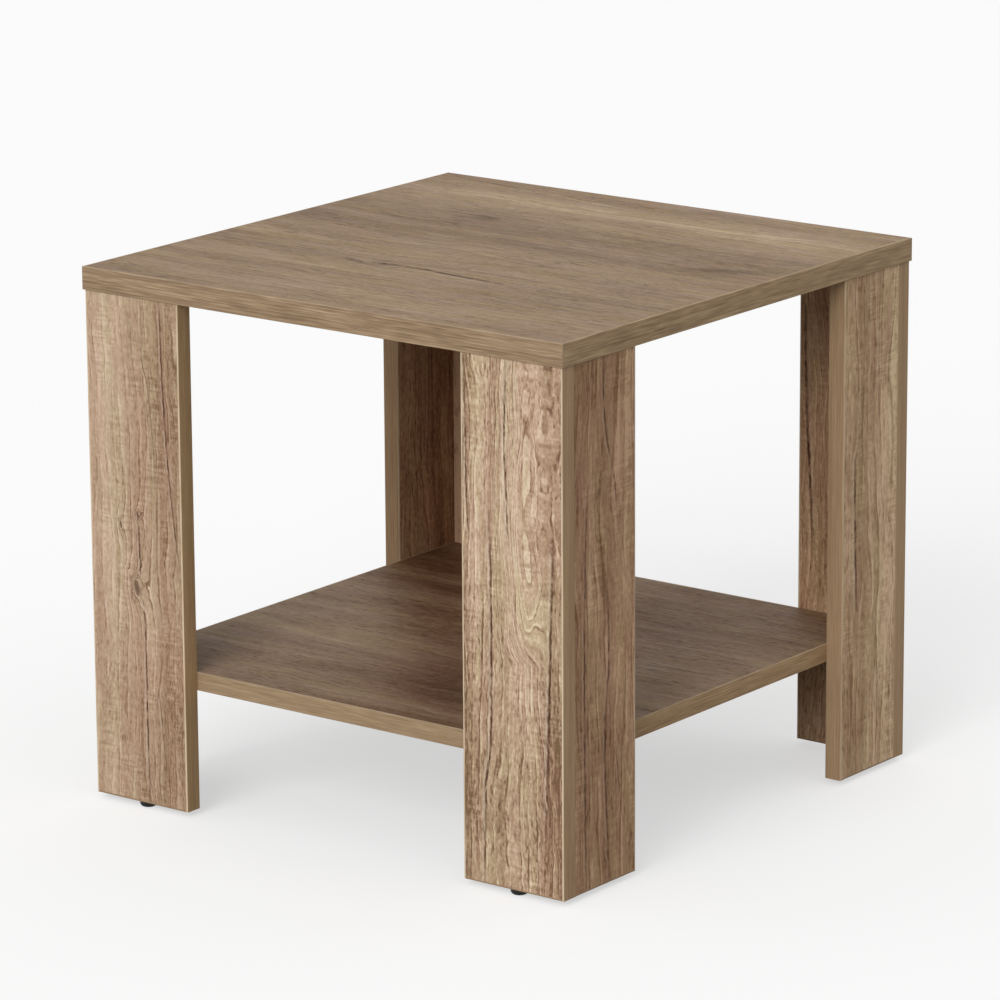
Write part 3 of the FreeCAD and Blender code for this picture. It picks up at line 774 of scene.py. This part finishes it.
@dataclass(frozen=True)
class SpeckledFinish:
    """A plain finish with a fine mottle: two tones, a grit or fibre size and the real material's sheen."""

    name: str
    dark: str
    pale: str
    grit: Triple
    metallic: float
    roughness: tuple[float, float]
    relief: float
    specular: float = 0.5

    SEED = 2.0
    OCTAVES = 4
    TONE_PLACES = (0.35, 0.65)
    SHEEN_LEVELS = (0.3, 0.7)

    def material(self) -> Material:
        """Builds the finish's material.

        Returns:
            The material, with its mottle on Object coordinates.
        """
        material = bpy.data.materials.new(self.name)
        sheet = Sheet(material)
        mottle = sheet.layer(Layer(self.grit, self.SEED, self.OCTAVES, 0.0, 1.0), sheet.millimetres())
        colour = sheet.add(RAMP, mottle, stops=list(zip(self.TONE_PLACES, (self.dark, self.pale))))
        roughness = sheet.add(RANGE, mottle, *self.SHEEN_LEVELS, *self.roughness)
        plain = {"Metallic": self.metallic, "Specular IOR Level": self.specular}
        sheet.coat(colour, roughness, mottle, self.relief, plain)
        return material


# Injection-moulded polypropylene is near black with a dull, faintly pebbled skin.
MOULDED_POLYPROPYLENE = SpeckledFinish("moulded_black_polypropylene", "#0b0b0c", "#171718", (0.8, 0.8, 0.8),
                                       0.0, (0.34, 0.5), 0.03, 0.25)
# Die-cast zinc is a soft grey metal with cloudy flow marks.
DIE_CAST_ZINC = SpeckledFinish("die_cast_zinc", "#8f9294", "#b4b6b7", (2.5, 2.5, 2.5), 1.0, (0.32, 0.48),
                               0.02)
# Zinc plate on turned steel is brighter and faintly streaked round the shank.
PLATED_STEEL = SpeckledFinish("turned_zinc_plated_steel", "#b3b6ba", "#d2d5d8", (0.6, 0.6, 3.0), 1.0,
                              (0.22, 0.36), 0.01)
# Beech dowels are pale pink-tan with short dark rays.
FLUTED_BEECH = SpeckledFinish("fluted_beech", "#b98f66", "#d6b48c", (0.7, 0.7, 9.0), 0.0, (0.55, 0.7), 0.08)
# Pressed hardboard is dark brown with matted fibres.
PRESSED_HARDBOARD = SpeckledFinish("pressed_hardboard", "#5a3d28", "#7b5a3d", (0.9, 0.9, 4.0), 0.0,
                                   (0.6, 0.75), 0.06)


def put_mesh(name: str, vertices: np.ndarray, quads: np.ndarray, caps: Sequence[np.ndarray] = ()) -> Piece:
    """Makes a piece of rings of quads and flat caps.

    Args:
        name: the piece's name.
        vertices: places in metres, one per row.
        quads: four vertex numbers per row.
        caps: the vertex numbers round each flat cap.

    Returns:
        The piece's object, at the origin.
    """
    mesh = bpy.data.meshes.new(name)
    mesh.from_pydata(vertices, [], quads.tolist() + [cap.tolist() for cap in caps])
    mesh.polygons.foreach_set("use_smooth", np.ones(len(mesh.polygons), dtype=bool))
    mesh.set_sharp_from_angle(angle=np.radians(SHARP_ANGLE))
    piece = bpy.data.objects.new(name, mesh)
    bpy.context.scene.collection.objects.link(piece)
    return piece


def ring_quads(sections: int, around: int) -> np.ndarray:
    """Numbers the quads between neighbouring closed rings.

    Args:
        sections: how many rings there are.
        around: how many points each ring has.

    Returns:
        Four vertex numbers per row, ring after ring.
    """
    numbers = np.arange(sections * around).reshape(sections, around)
    after = np.roll(numbers, -1, axis=1)
    return np.stack([numbers[:-1], after[:-1], after[1:], numbers[1:]], axis=-1).reshape(-1, 4)


def node_box(node: str) -> Box:
    """Gives a node's lowest and highest corner, in metres."""
    lowest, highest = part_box(node)
    return np.array(lowest), np.array(highest)


def paint(piece: Piece, material: Material) -> None:
    """Puts the material in each of the piece's slots, or in a new one.

    Args:
        piece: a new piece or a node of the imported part.
        material: its finish.
    """
    for slot in piece.material_slots:
        slot.material = material
    if not piece.material_slots:
        piece.data.materials.append(material)


@dataclass
class EdgeBand:
    """A band glued on a board's edge: a strip whose two outer arrises are scraped round."""

    node: str
    tone: BandTone
    bareness: float
    arris: float = 0.6
    steps: int = 6

    ARRIS = "arris"

    def build(self, board_centre: np.ndarray) -> Piece:
        """Carries the band's profile along the band.

        The profile is a rectangle whose two outer corners are quarter circles: a corner's centre plus the
        arris times (sine, cosine) of an angle from 0 to 90 degrees.

        Args:
            board_centre: the middle of the board that carries the band, in metres.

        Returns:
            The piece, with its bared arrises in a face corner attribute.
        """
        lowest, highest = node_box(self.node)
        size = highest - lowest
        thin, wide, long = np.argsort(size)
        outward = np.sign((lowest + highest)[thin] / 2 - board_centre[thin])
        radius = self.arris * MM
        turn = np.linspace(0.0, np.pi / 2, self.steps + 1)
        reach = size[thin] - radius + radius * np.sin(turn)
        side = size[wide] / 2 - radius + radius * np.cos(turn)
        out = np.concatenate([[0.0], reach, reach[::-1], [0.0]])
        sideways = np.concatenate([[size[wide] / 2], side, -side[::-1], [-size[wide] / 2]])
        bare = np.concatenate([[1.0], np.cos(turn), np.cos(turn)[::-1], [1.0]])
        around = len(out)

        vertices = np.empty((2, around, 3))
        inner = lowest[thin] if outward > 0 else highest[thin]
        vertices[:, :, thin] = inner + outward * out
        vertices[:, :, wide] = (lowest + highest)[wide] / 2 + sideways
        vertices[:, :, long] = np.array([lowest[long], highest[long]])[:, None]
        quads = ring_quads(2, around)
        start = np.arange(around)
        caps = [start[::-1], start + around]
        # Where outward, across and along make a right-handed set, the faces would look in, so they turn over.
        if np.linalg.det(np.eye(3)[[thin, wide, long]]) * outward > 0:
            quads = quads[:, ::-1]
            caps = [cap[::-1] for cap in caps]
        piece = put_mesh(f"{self.node}_strip", vertices.reshape(-1, 3), quads, caps)
        corner_bare = np.concatenate([bare[quads.ravel() % around], np.ones(2 * around)])
        shade = piece.data.attributes.new(self.ARRIS, "FLOAT", "CORNER")
        shade.data.foreach_set("value", corner_bare.astype(np.float32))
        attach(piece, BODY)
        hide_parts(self.node)
        return piece

    def dress(self, piece: Piece) -> None:
        """Gives the strip the print that runs along it."""
        direction = AXES[int(np.argmax(piece.dimensions))]
        paint(piece, PrintedBand(direction, self.tone, self.bareness).material())


@dataclass
class Board:
    """A board of the table: its panel with a decor, and the bands on its edges."""

    decor: OakDecor
    bands: tuple[EdgeBand, ...]

    def build(self) -> list[Piece]:
        """Builds the strips that stand for the board's bands."""
        lowest, highest = node_box(self.decor.board)
        return [band.build((lowest + highest) / 2) for band in self.bands]

    def dress(self, strips: Sequence[Piece]) -> None:
        """Gives the panel its decor and each strip its print.

        Args:
            strips: the pieces that build made.
        """
        lowest, highest = node_box(self.decor.board)
        paint(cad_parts[self.decor.board], self.decor.material((lowest * PER_MM, highest * PER_MM)))
        for band, strip in zip(self.bands, strips):
            band.dress(strip)


@dataclass
class Glides:
    """The four moulded glides under the face boards, as one piece."""

    node: str = "foot_glides"
    diameter: float = 15.0
    height: float = 5.0
    foot_diameter: float = 9.0
    rim_height: float = 1.6
    around: int = 48
    steps: int = 10

    CORNERS = ((-1, -1), (1, -1), (-1, 1), (1, 1))

    def build(self) -> Piece:
        """Turns the glide's profile round an upright line at each foot.

        The profile is a straight rim under the board, then a quarter ellipse from the rim in to the flat
        foot: radius = foot + (rim - foot) times the cosine, height = dome height times (1 - sine) of 0 to
        90 degrees.

        Returns:
            The piece with all four glides.
        """
        turn = np.linspace(0.0, np.pi / 2, self.steps + 1)
        foot, rim = self.foot_diameter / 2, self.diameter / 2
        radius = np.concatenate([[rim], foot + (rim - foot) * np.cos(turn)]) * MM
        dome = self.height - self.rim_height
        level = np.concatenate([[self.height], dome * (1.0 - np.sin(turn))]) * MM
        angle = np.linspace(0.0, 2 * np.pi, self.around, endpoint=False)
        ring = np.stack([np.cos(angle), np.sin(angle)], axis=-1)
        glide = np.empty((len(radius), self.around, 3))
        glide[:, :, :2] = radius[:, None, None] * ring
        glide[:, :, 2] = level[:, None]

        lowest, highest = node_box(self.node)
        reach = (highest - lowest)[:2] / 2 - self.diameter / 2 * MM
        centres = (lowest + highest)[:2] / 2 + np.array(self.CORNERS) * reach
        centres = np.column_stack([centres, np.full(len(centres), lowest[2])])
        vertices = (centres[:, None, None, :] + glide).reshape(-1, 3)
        per_glide = len(radius) * self.around
        starts = np.arange(len(centres)) * per_glide
        quads = (starts[:, None, None] + ring_quads(len(radius), self.around)[:, ::-1]).reshape(-1, 4)
        top = np.arange(self.around)
        caps = [start + top for start in starts]
        caps += [start + per_glide - self.around + top[::-1] for start in starts]
        piece = put_mesh("foot_glide_domes", vertices, quads, caps)
        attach(piece, BODY)
        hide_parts(self.node)
        return piece

    def dress(self, piece: Piece) -> None:
        """Gives the glides their moulded plastic."""
        paint(piece, MOULDED_POLYPROPYLENE.material())


@dataclass
class Fittings:
    """The knock-down fittings inside the boards, which keep their solids."""

    cams: tuple[str, ...] = ("top_cams", "shelf_cams")
    bolts: tuple[str, ...] = ("top_cam_bolts", "shelf_cam_bolts")
    dowels: tuple[str, ...] = ("top_dowels",)
    tongues: tuple[str, ...] = ("corner_tongues",)

    def dress(self) -> list[str]:
        """Gives each kind of fitting its finish.

        Returns:
            The names of the fittings.
        """
        dressed = []
        for nodes, finish in ((self.cams, DIE_CAST_ZINC), (self.bolts, PLATED_STEEL),
                              (self.dowels, FLUTED_BEECH), (self.tongues, PRESSED_HARDBOARD)):
            material = finish.material()
            for node in nodes:
                paint(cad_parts[node], material)
            dressed += nodes
        return dressed


@dataclass
class Studio:
    """A plain pale floor, one broad soft lamp in front, a pale surround and the camera.

    The floor's side is in metres; angles are degrees.
    """

    floor_side: float = 24.0
    floor_bounce: str = "#8a8886"
    floor_shadow: float = 0.45
    surround: float = 0.62
    key_way: Triple = (0.08, -0.58, 0.30)
    key_spread: float = 40.0
    azimuth: float = 37.305
    elevation: float = 14.526
    roll: float = -0.355
    focal_pixels: float = 5419.0
    image_pixels: float = 1000.0
    sensor: float = 36.0
    aim_right: float = -3.76
    aim_up: float = 240.61
    distance: float = 4689.8

    def build(self) -> None:
        """Sets up the floor, the light and the camera."""
        bpy.context.scene.view_settings.view_transform = "Standard"
        self.lay_floor()
        self.hang_lamp()
        self.light_surround()
        self.place_camera()

    def seen_directly(self, sheet: Sheet) -> Socket:
        """Gives one for rays from the camera, a mirror or glass, and nought for the light that bounces."""
        path = sheet.add("ShaderNodeLightPath").node.outputs
        return sheet.add(LARGER, sheet.add(LARGER, path["Is Camera Ray"], path["Is Glossy Ray"]),
                         path["Is Transmission Ray"])

    def lay_floor(self) -> None:
        """Lays a flat square floor, white to the eye with a soft shadow, and clear from below."""
        corners = np.array([(-1, -1, 0), (1, -1, 0), (1, 1, 0), (-1, 1, 0)]) * self.floor_side / 2
        floor = put_mesh("studio_floor", corners, np.array([(0, 1, 2, 3)]))
        material = bpy.data.materials.new("matt_white_studio_floor")
        material.cycles.emission_sampling = "NONE"
        sheet = Sheet(material)
        glow = sheet.add("ShaderNodeEmission", WHITE, 1.0)
        shown = sheet.add(MIX_SHADER, self.floor_shadow, glow, sheet.add(DIFFUSE, WHITE))
        bounce = sheet.add(DIFFUSE, linear(self.floor_bounce))
        lit = sheet.add(MIX_SHADER, self.seen_directly(sheet), bounce, shown)
        below = sheet.add("ShaderNodeNewGeometry").node.outputs["Backfacing"]
        sheet.finish(sheet.add(MIX_SHADER, below, lit, sheet.add("ShaderNodeBsdfTransparent")))
        paint(floor, material)

    def hang_lamp(self) -> None:
        """Hangs the broad lamp, whose strength of pi times a share lights a facing surface to that share."""
        way = Vector(self.key_way)
        lamp = bpy.data.lights.new("softbox", "SUN")
        lamp.energy = float(np.pi * way.length)
        lamp.angle = float(np.radians(self.key_spread))
        lamp_object = bpy.data.objects.new("softbox", lamp)
        lamp_object.rotation_euler = way.to_track_quat("Z", "Y").to_euler()
        bpy.context.scene.collection.objects.link(lamp_object)

    def light_surround(self) -> None:
        """Makes the surround white to the eye and a softer even light on the table."""
        world = bpy.data.worlds.new("pale_surround")
        bpy.context.scene.world = world
        sheet = Sheet(world)
        strength = sheet.add(RANGE, self.seen_directly(sheet), 0.0, 1.0, self.surround, 1.0)
        sheet.finish(sheet.add("ShaderNodeBackground", WHITE, strength), "ShaderNodeOutputWorld")

    def place_camera(self) -> None:
        """Stands the camera at the photograph's angle: turned, then moved back along its line of sight."""
        lens = bpy.data.cameras.new("photo_camera")
        lens.sensor_width = self.sensor
        lens.lens = self.focal_pixels / self.image_pixels * self.sensor
        camera = bpy.data.objects.new("photo_camera", lens)
        turns = ((self.azimuth, "Z"), (90.0 - self.elevation, "X"), (self.roll, "Z"))
        azimuth, tilt, roll = (Matrix.Rotation(float(np.radians(angle)), 4, axis) for angle, axis in turns)
        away = Vector((self.aim_right, self.aim_up, self.distance)) * MM
        camera.matrix_world = azimuth @ tilt @ roll @ Matrix.Translation(away)
        bpy.context.scene.collection.objects.link(camera)
        bpy.context.scene.camera = camera


class BoardedPart:
    """A sub-assembly that is made of banded boards."""

    def boards(self) -> list[Board]:
        """Lists the part's boards."""
        raise NotImplementedError

    def build(self) -> list[list[Piece]]:
        """Builds the strips of each board."""
        return [board.build() for board in self.boards()]

    def dress(self, strips_by_board: Sequence[Sequence[Piece]]) -> None:
        """Dresses each board and the strips that build made for it."""
        for board, strips in zip(self.boards(), strips_by_board):
            board.dress(strips)


@dataclass
class SquareBoard(BoardedPart):
    """One square board with a band on each edge, warmer on its left and right than in front and behind."""

    decor: OakDecor
    name: str
    tone: BandTone
    side_tone: BandTone
    bareness: float

    def boards(self) -> list[Board]:
        """Lists the part's boards.

        Returns:
            The one board.
        """
        tones = (self.tone, self.tone, self.side_tone, self.side_tone)
        bands = tuple(EdgeBand(f"{self.name}_edge_{side}", tone, self.bareness)
                      for side, tone in zip(SIDES, tones))
        return [Board(self.decor, bands)]


@dataclass
class Tabletop(SquareBoard):
    """The square top: one thick board with a lined band on each edge."""

    name: str = "tabletop"
    tone: BandTone = BandTone.LINED_OAK
    side_tone: BandTone = BandTone.WARM_LINED_OAK
    bareness: float = 0.12


@dataclass
class Shelf(SquareBoard):
    """The square shelf between the legs: one board with a faintly lined band on each edge."""

    name: str = "shelf"
    tone: BandTone = BandTone.FAINT_OAK
    side_tone: BandTone = BandTone.WARM_FAINT_OAK
    bareness: float = 0.3


@dataclass
class Leg(BoardedPart):
    """An L-shaped leg: a face board that laps over the edge of a side board."""

    corner: str
    face: OakDecor
    side: OakDecor
    tone: BandTone = BandTone.PLAIN_OAK
    face_bareness: float = 0.75
    side_bareness: float = 0.5
    foot_bareness: float = 0.1

    def boards(self) -> list[Board]:
        """Lists the part's boards.

        Returns:
            The face board and the side board.
        """
        name = f"leg_{self.corner}"
        outer, inner = (EdgeBand(f"{name}_face_edge_{place}", self.tone, self.face_bareness)
                        for place in ("outer", "inner"))
        side_edge = EdgeBand(f"{name}_side_edge", self.tone, self.side_bareness)
        # The foot bands take the darker, shaded copy of the plain print.
        face_foot, side_foot = (EdgeBand(f"{name}_{board}_foot", BandTone.SHADED_OAK, self.foot_bareness)
                                for board in ("face", "side"))
        return [Board(self.face, (outer, inner, face_foot)), Board(self.side, (side_edge, side_foot))]


# Knots, streaks and cracks are where they show on the table; boards that face away have their own.
TOP_DECOR = OakDecor(
    "tabletop_panel", Grain.LEVEL, 1.0, GREY_OAK, TOP_STYLE, shows_high_side=True,
    planks=((-248, 0.05), (-200, 0.06), (-125, 0.0), (-60, 0.02), (-5, -0.01), (25, -0.10), (60, -0.12),
            (90, -0.06), (120, 0.02), (150, 0.08), (178, 0.14), (205, 0.05), (248, 0.05)),
    lengths=((-248, -0.08), (-100, -0.03), (100, 0.02), (248, 0.0)),
    knots=(Knot(-97, -50, 5, 11, 0.9, 40),),
    streaks=(Streak(((-125, 98), (-105, 103), (-70, 106)), 14, -0.3),
             Streak(((150, 34), (212, 52), (248, 62)), 14, -0.4),
             Streak(((-200, 178), (0, 173), (220, 169)), 12, 0.2),
             Streak(((-150, 236), (-55, 216), (40, 204)), 2.5, 0.4),
             Streak(((-110, -95), (-72, -97), (-42, -98)), 7, -0.4),
             Streak(((-300, -40), (-205, -40), (-110, -42)), 22, 0.18),
             Streak(((-280, 194), (-140, 190), (20, 186)), 34, 0.16),
             Streak(((-60, 196), (101, 178), (164, 182), (247, 189)), 2.5, 0.45),
             Streak(((20, 160), (120, 158), (235, 163)), 2.5, 0.35),
             Streak(((-244, 240), (-190, 233), (-120, 222)), 2.5, -0.5)),
    cracks=(Crack(((-52, -96), (-24, -94), (24, -98), (80, -102)), 3.6),
            Crack(((28, 104), (70, 107), (118, 109)), 4, 0.35),
            Crack(((89, -110), (153, -117), (193, -113), (239, -114)), 4, 0.25)))

# Painted shade: the shelf is darker on a broad diagonal, near its back left corner and in its middle.
SHELF_DECOR = OakDecor(
    "shelf_panel", Grain.LEVEL, 2.0, BROWN_OAK, SHELF_STYLE, shows_high_side=True,
    planks=((-236, -0.05), (-160, -0.06), (-100, -0.01), (40, -0.02), (140, -0.11), (190, -0.02),
            (236, -0.04)),
    lengths=((-236, 0.26), (-160, 0.23), (-80, 0.13), (0, 0.06), (60, -0.06), (110, 0.0), (150, 0.11),
             (236, 0.15)),
    painted_shades=(Streak(((-480, 430), (-160, 115), (-75, 25), (0, -60), (270, -370)), 125, -0.40),
            Streak(((-400, 210), (-220, 210), (-40, 210)), 120, -0.25)),
    streaks=(Streak(((-210, 96), (-120, 100), (-30, 97)), 18, -0.12),
             Streak(((-160, -150), (0, -146), (160, -152)), 30, -0.14),
             Streak(((-200, -78), (-165, -80), (-130, -82)), 12, 0.15)),
    cracks=(Crack(((139, 7), (194, 15), (225, 17)), 4, 0.5),))

FRONT_LEFT_FACE = OakDecor(
    "leg_front_left_face_board", Grain.UPRIGHT_ON_FACE, 5.0, TAN_OAK, SAWN_STYLE,
    planks=((-247, 0.12), (-216, 0.12), (-206, 0.02), (-198, -0.03), (-184, -0.01), (-168, -0.15),
            (-149, -0.18)),
    lengths=((5, 0.0), (150, 0.0), (250, 0.04), (445, 0.04)),
    knots=(Knot(-199, 194, 6, 9, 0.7, 28), Knot(-215, 247, 2.4, 4.6, 0.75, 13),
           Knot(-196, 258, 2.4, 4, 0.75, 13)),
    cracks=(Crack(((445, -167), (388, -166), (327, -163), (282, -159), (220, -151)), 1.1),
            Crack(((443, -188), (393, -187), (370, -182), (295, -176)), 0.9, 0.6),
            Crack(((258, -196), (236, -195), (206, -194))),
            Crack(((186, -192), (150, -190), (96, -190), (5, -189)), 1.2),
            Crack(((108, -177), (82, -174), (47, -171)), 0.9, 0.6)))

FRONT_LEFT_SIDE = OakDecor(
    "leg_front_left_side_board", Grain.UPRIGHT_ON_SIDE, 6.0, UMBER_OAK, SIDE_STYLE,
    cracks=(Crack(((430, -205), (300, -199), (180, -203))),
            Crack(((250, -176), (120, -181), (20, -178)), 0.9, 0.8)))

FRONT_RIGHT_FACE = OakDecor(
    "leg_front_right_face_board", Grain.UPRIGHT_ON_FACE, 3.0, CREAM_OAK, heart=Heart(208, 245),
    planks=((149, -0.22), (156, -0.10), (163, 0.02), (170, 0.04), (177, -0.02), (190, 0.03), (194, 0.10),
            (210, 0.12), (225, 0.06), (233, -0.10), (247, -0.12)),
    lengths=((5, -0.15), (120, -0.13), (180, -0.03), (330, 0.02), (445, 0.06)),
    cracks=(Crack(((444, 151), (373, 152), (324, 153), (290, 156))),
            Crack(((444, 193), (381, 191), (346, 192), (290, 195)), 1.4, 1.0),
            Crack(((321, 175), (213, 177), (132, 176), (87, 171), (5, 169)), 1.45, 1.0),
            Crack(((304, 239), (212, 236), (105, 233), (70, 232)), 1.7, 1.0)))

FRONT_RIGHT_SIDE = OakDecor(
    "leg_front_right_side_board", Grain.UPRIGHT_ON_SIDE, 4.0, UMBER_OAK, SIDE_STYLE, shows_high_side=True,
    planks=((-232, 0.0), (-182, 0.0), (-152, 0.14)),
    lengths=((5, -0.02), (150, -0.01), (445, 0.04)),
    cracks=(Crack(((444, -194), (393, -192), (345, -180), (317, -176)), 1.5),
            Crack(((347, -212), (265, -219), (172, -220), (5, -218)), 1.5),
            Crack(((255, -189), (195, -187), (137, -192), (62, -190), (5, -186)), 1.6),
            Crack(((124, -178), (82, -173), (47, -167)), 0.9, 0.7)))

# Painted light: the hidden painted light lifts the tone of this board's inner face.
BACK_LEFT_FACE = OakDecor(
    "leg_back_left_face_board", Grain.UPRIGHT_ON_FACE, 9.0, UMBER_OAK, heart=Heart(-205, 170),
    shows_high_side=True, hidden_painted_light=0.55,
    cracks=(Crack(((440, -180), (330, -184), (250, -181))),
            Crack(((210, -222), (120, -218), (15, -221)), 0.9, 0.8)))

# Painted shade: dark palette, calm style and planks darker towards the back corner; the outer face lifted
# again.
BACK_LEFT_SIDE = OakDecor(
    "leg_back_left_side_board", Grain.UPRIGHT_ON_SIDE, 10.0, SHADE_DARKENED_OAK, CALM_STYLE,
    shows_high_side=True, hidden_painted_light=0.2,
    planks=((152, 0.10), (185, 0.02), (232, -0.27)),
    cracks=(Crack(((435, 190), (320, 196), (210, 192))),
            Crack(((170, 215), (90, 211), (15, 214)), 0.9, 0.8)))

# Painted light: the hidden painted light lifts the tone of this board's inner face.
BACK_RIGHT_FACE = OakDecor(
    "leg_back_right_face_board", Grain.UPRIGHT_ON_FACE, 7.0, UMBER_OAK,
    shows_high_side=True, hidden_painted_light=0.12,
    cracks=(Crack(((400, 243), (309, 241), (279, 239), (190, 234)), 2.0, 1.0),
            Crack(((330, 190), (180, 196), (30, 193)), 0.9, 0.8)))

BACK_RIGHT_SIDE = OakDecor(
    "leg_back_right_side_board", Grain.UPRIGHT_ON_SIDE, 8.0, STRAW_OAK, SIDE_STYLE, shows_high_side=True,
    planks=((152, -0.06), (185, -0.06), (193, 0.02), (204, 0.08), (232, 0.12)),
    lengths=((5, 0.13), (150, 0.0), (300, -0.06), (445, -0.05)),
    cracks=(Crack(((440, 204), (380, 203), (312, 205)), 0.9, 0.6),
            Crack(((290, 168), (233, 169), (150, 173)), 2.2, 1.0),
            Crack(((140, 200), (80, 206), (10, 204)), 0.9, 0.7)))

PARTS = (Tabletop(TOP_DECOR), Shelf(SHELF_DECOR),
         # Painted light: the front-left leg's bands take the lightened olive print.
         Leg("front_left", FRONT_LEFT_FACE, FRONT_LEFT_SIDE, BandTone.OLIVE_OAK),
         Leg("front_right", FRONT_RIGHT_FACE, FRONT_RIGHT_SIDE),
         # Painted shade: the back-left leg's bands take the shaded print.
         Leg("back_left", BACK_LEFT_FACE, BACK_LEFT_SIDE, BandTone.SHADED_OAK),
         Leg("back_right", BACK_RIGHT_FACE, BACK_RIGHT_SIDE))


def main() -> None:
    """Builds and dresses each sub-assembly, then the studio round it."""
    logging.basicConfig(level=logging.INFO, format="%(name)s: %(message)s")
    for part in PARTS:
        strips_by_board = part.build()
        part.dress(strips_by_board)
        for board, strips in zip(part.boards(), strips_by_board):
            LOG.info("%s with %d bands", board.decor.board, len(strips))
    glides = Glides()
    domes = glides.build()
    glides.dress(domes)
    LOG.info("%s", domes.name)
    for node in Fittings().dress():
        LOG.info("%s", node)
    Studio().build()


if __name__ == "__main__":
    main()
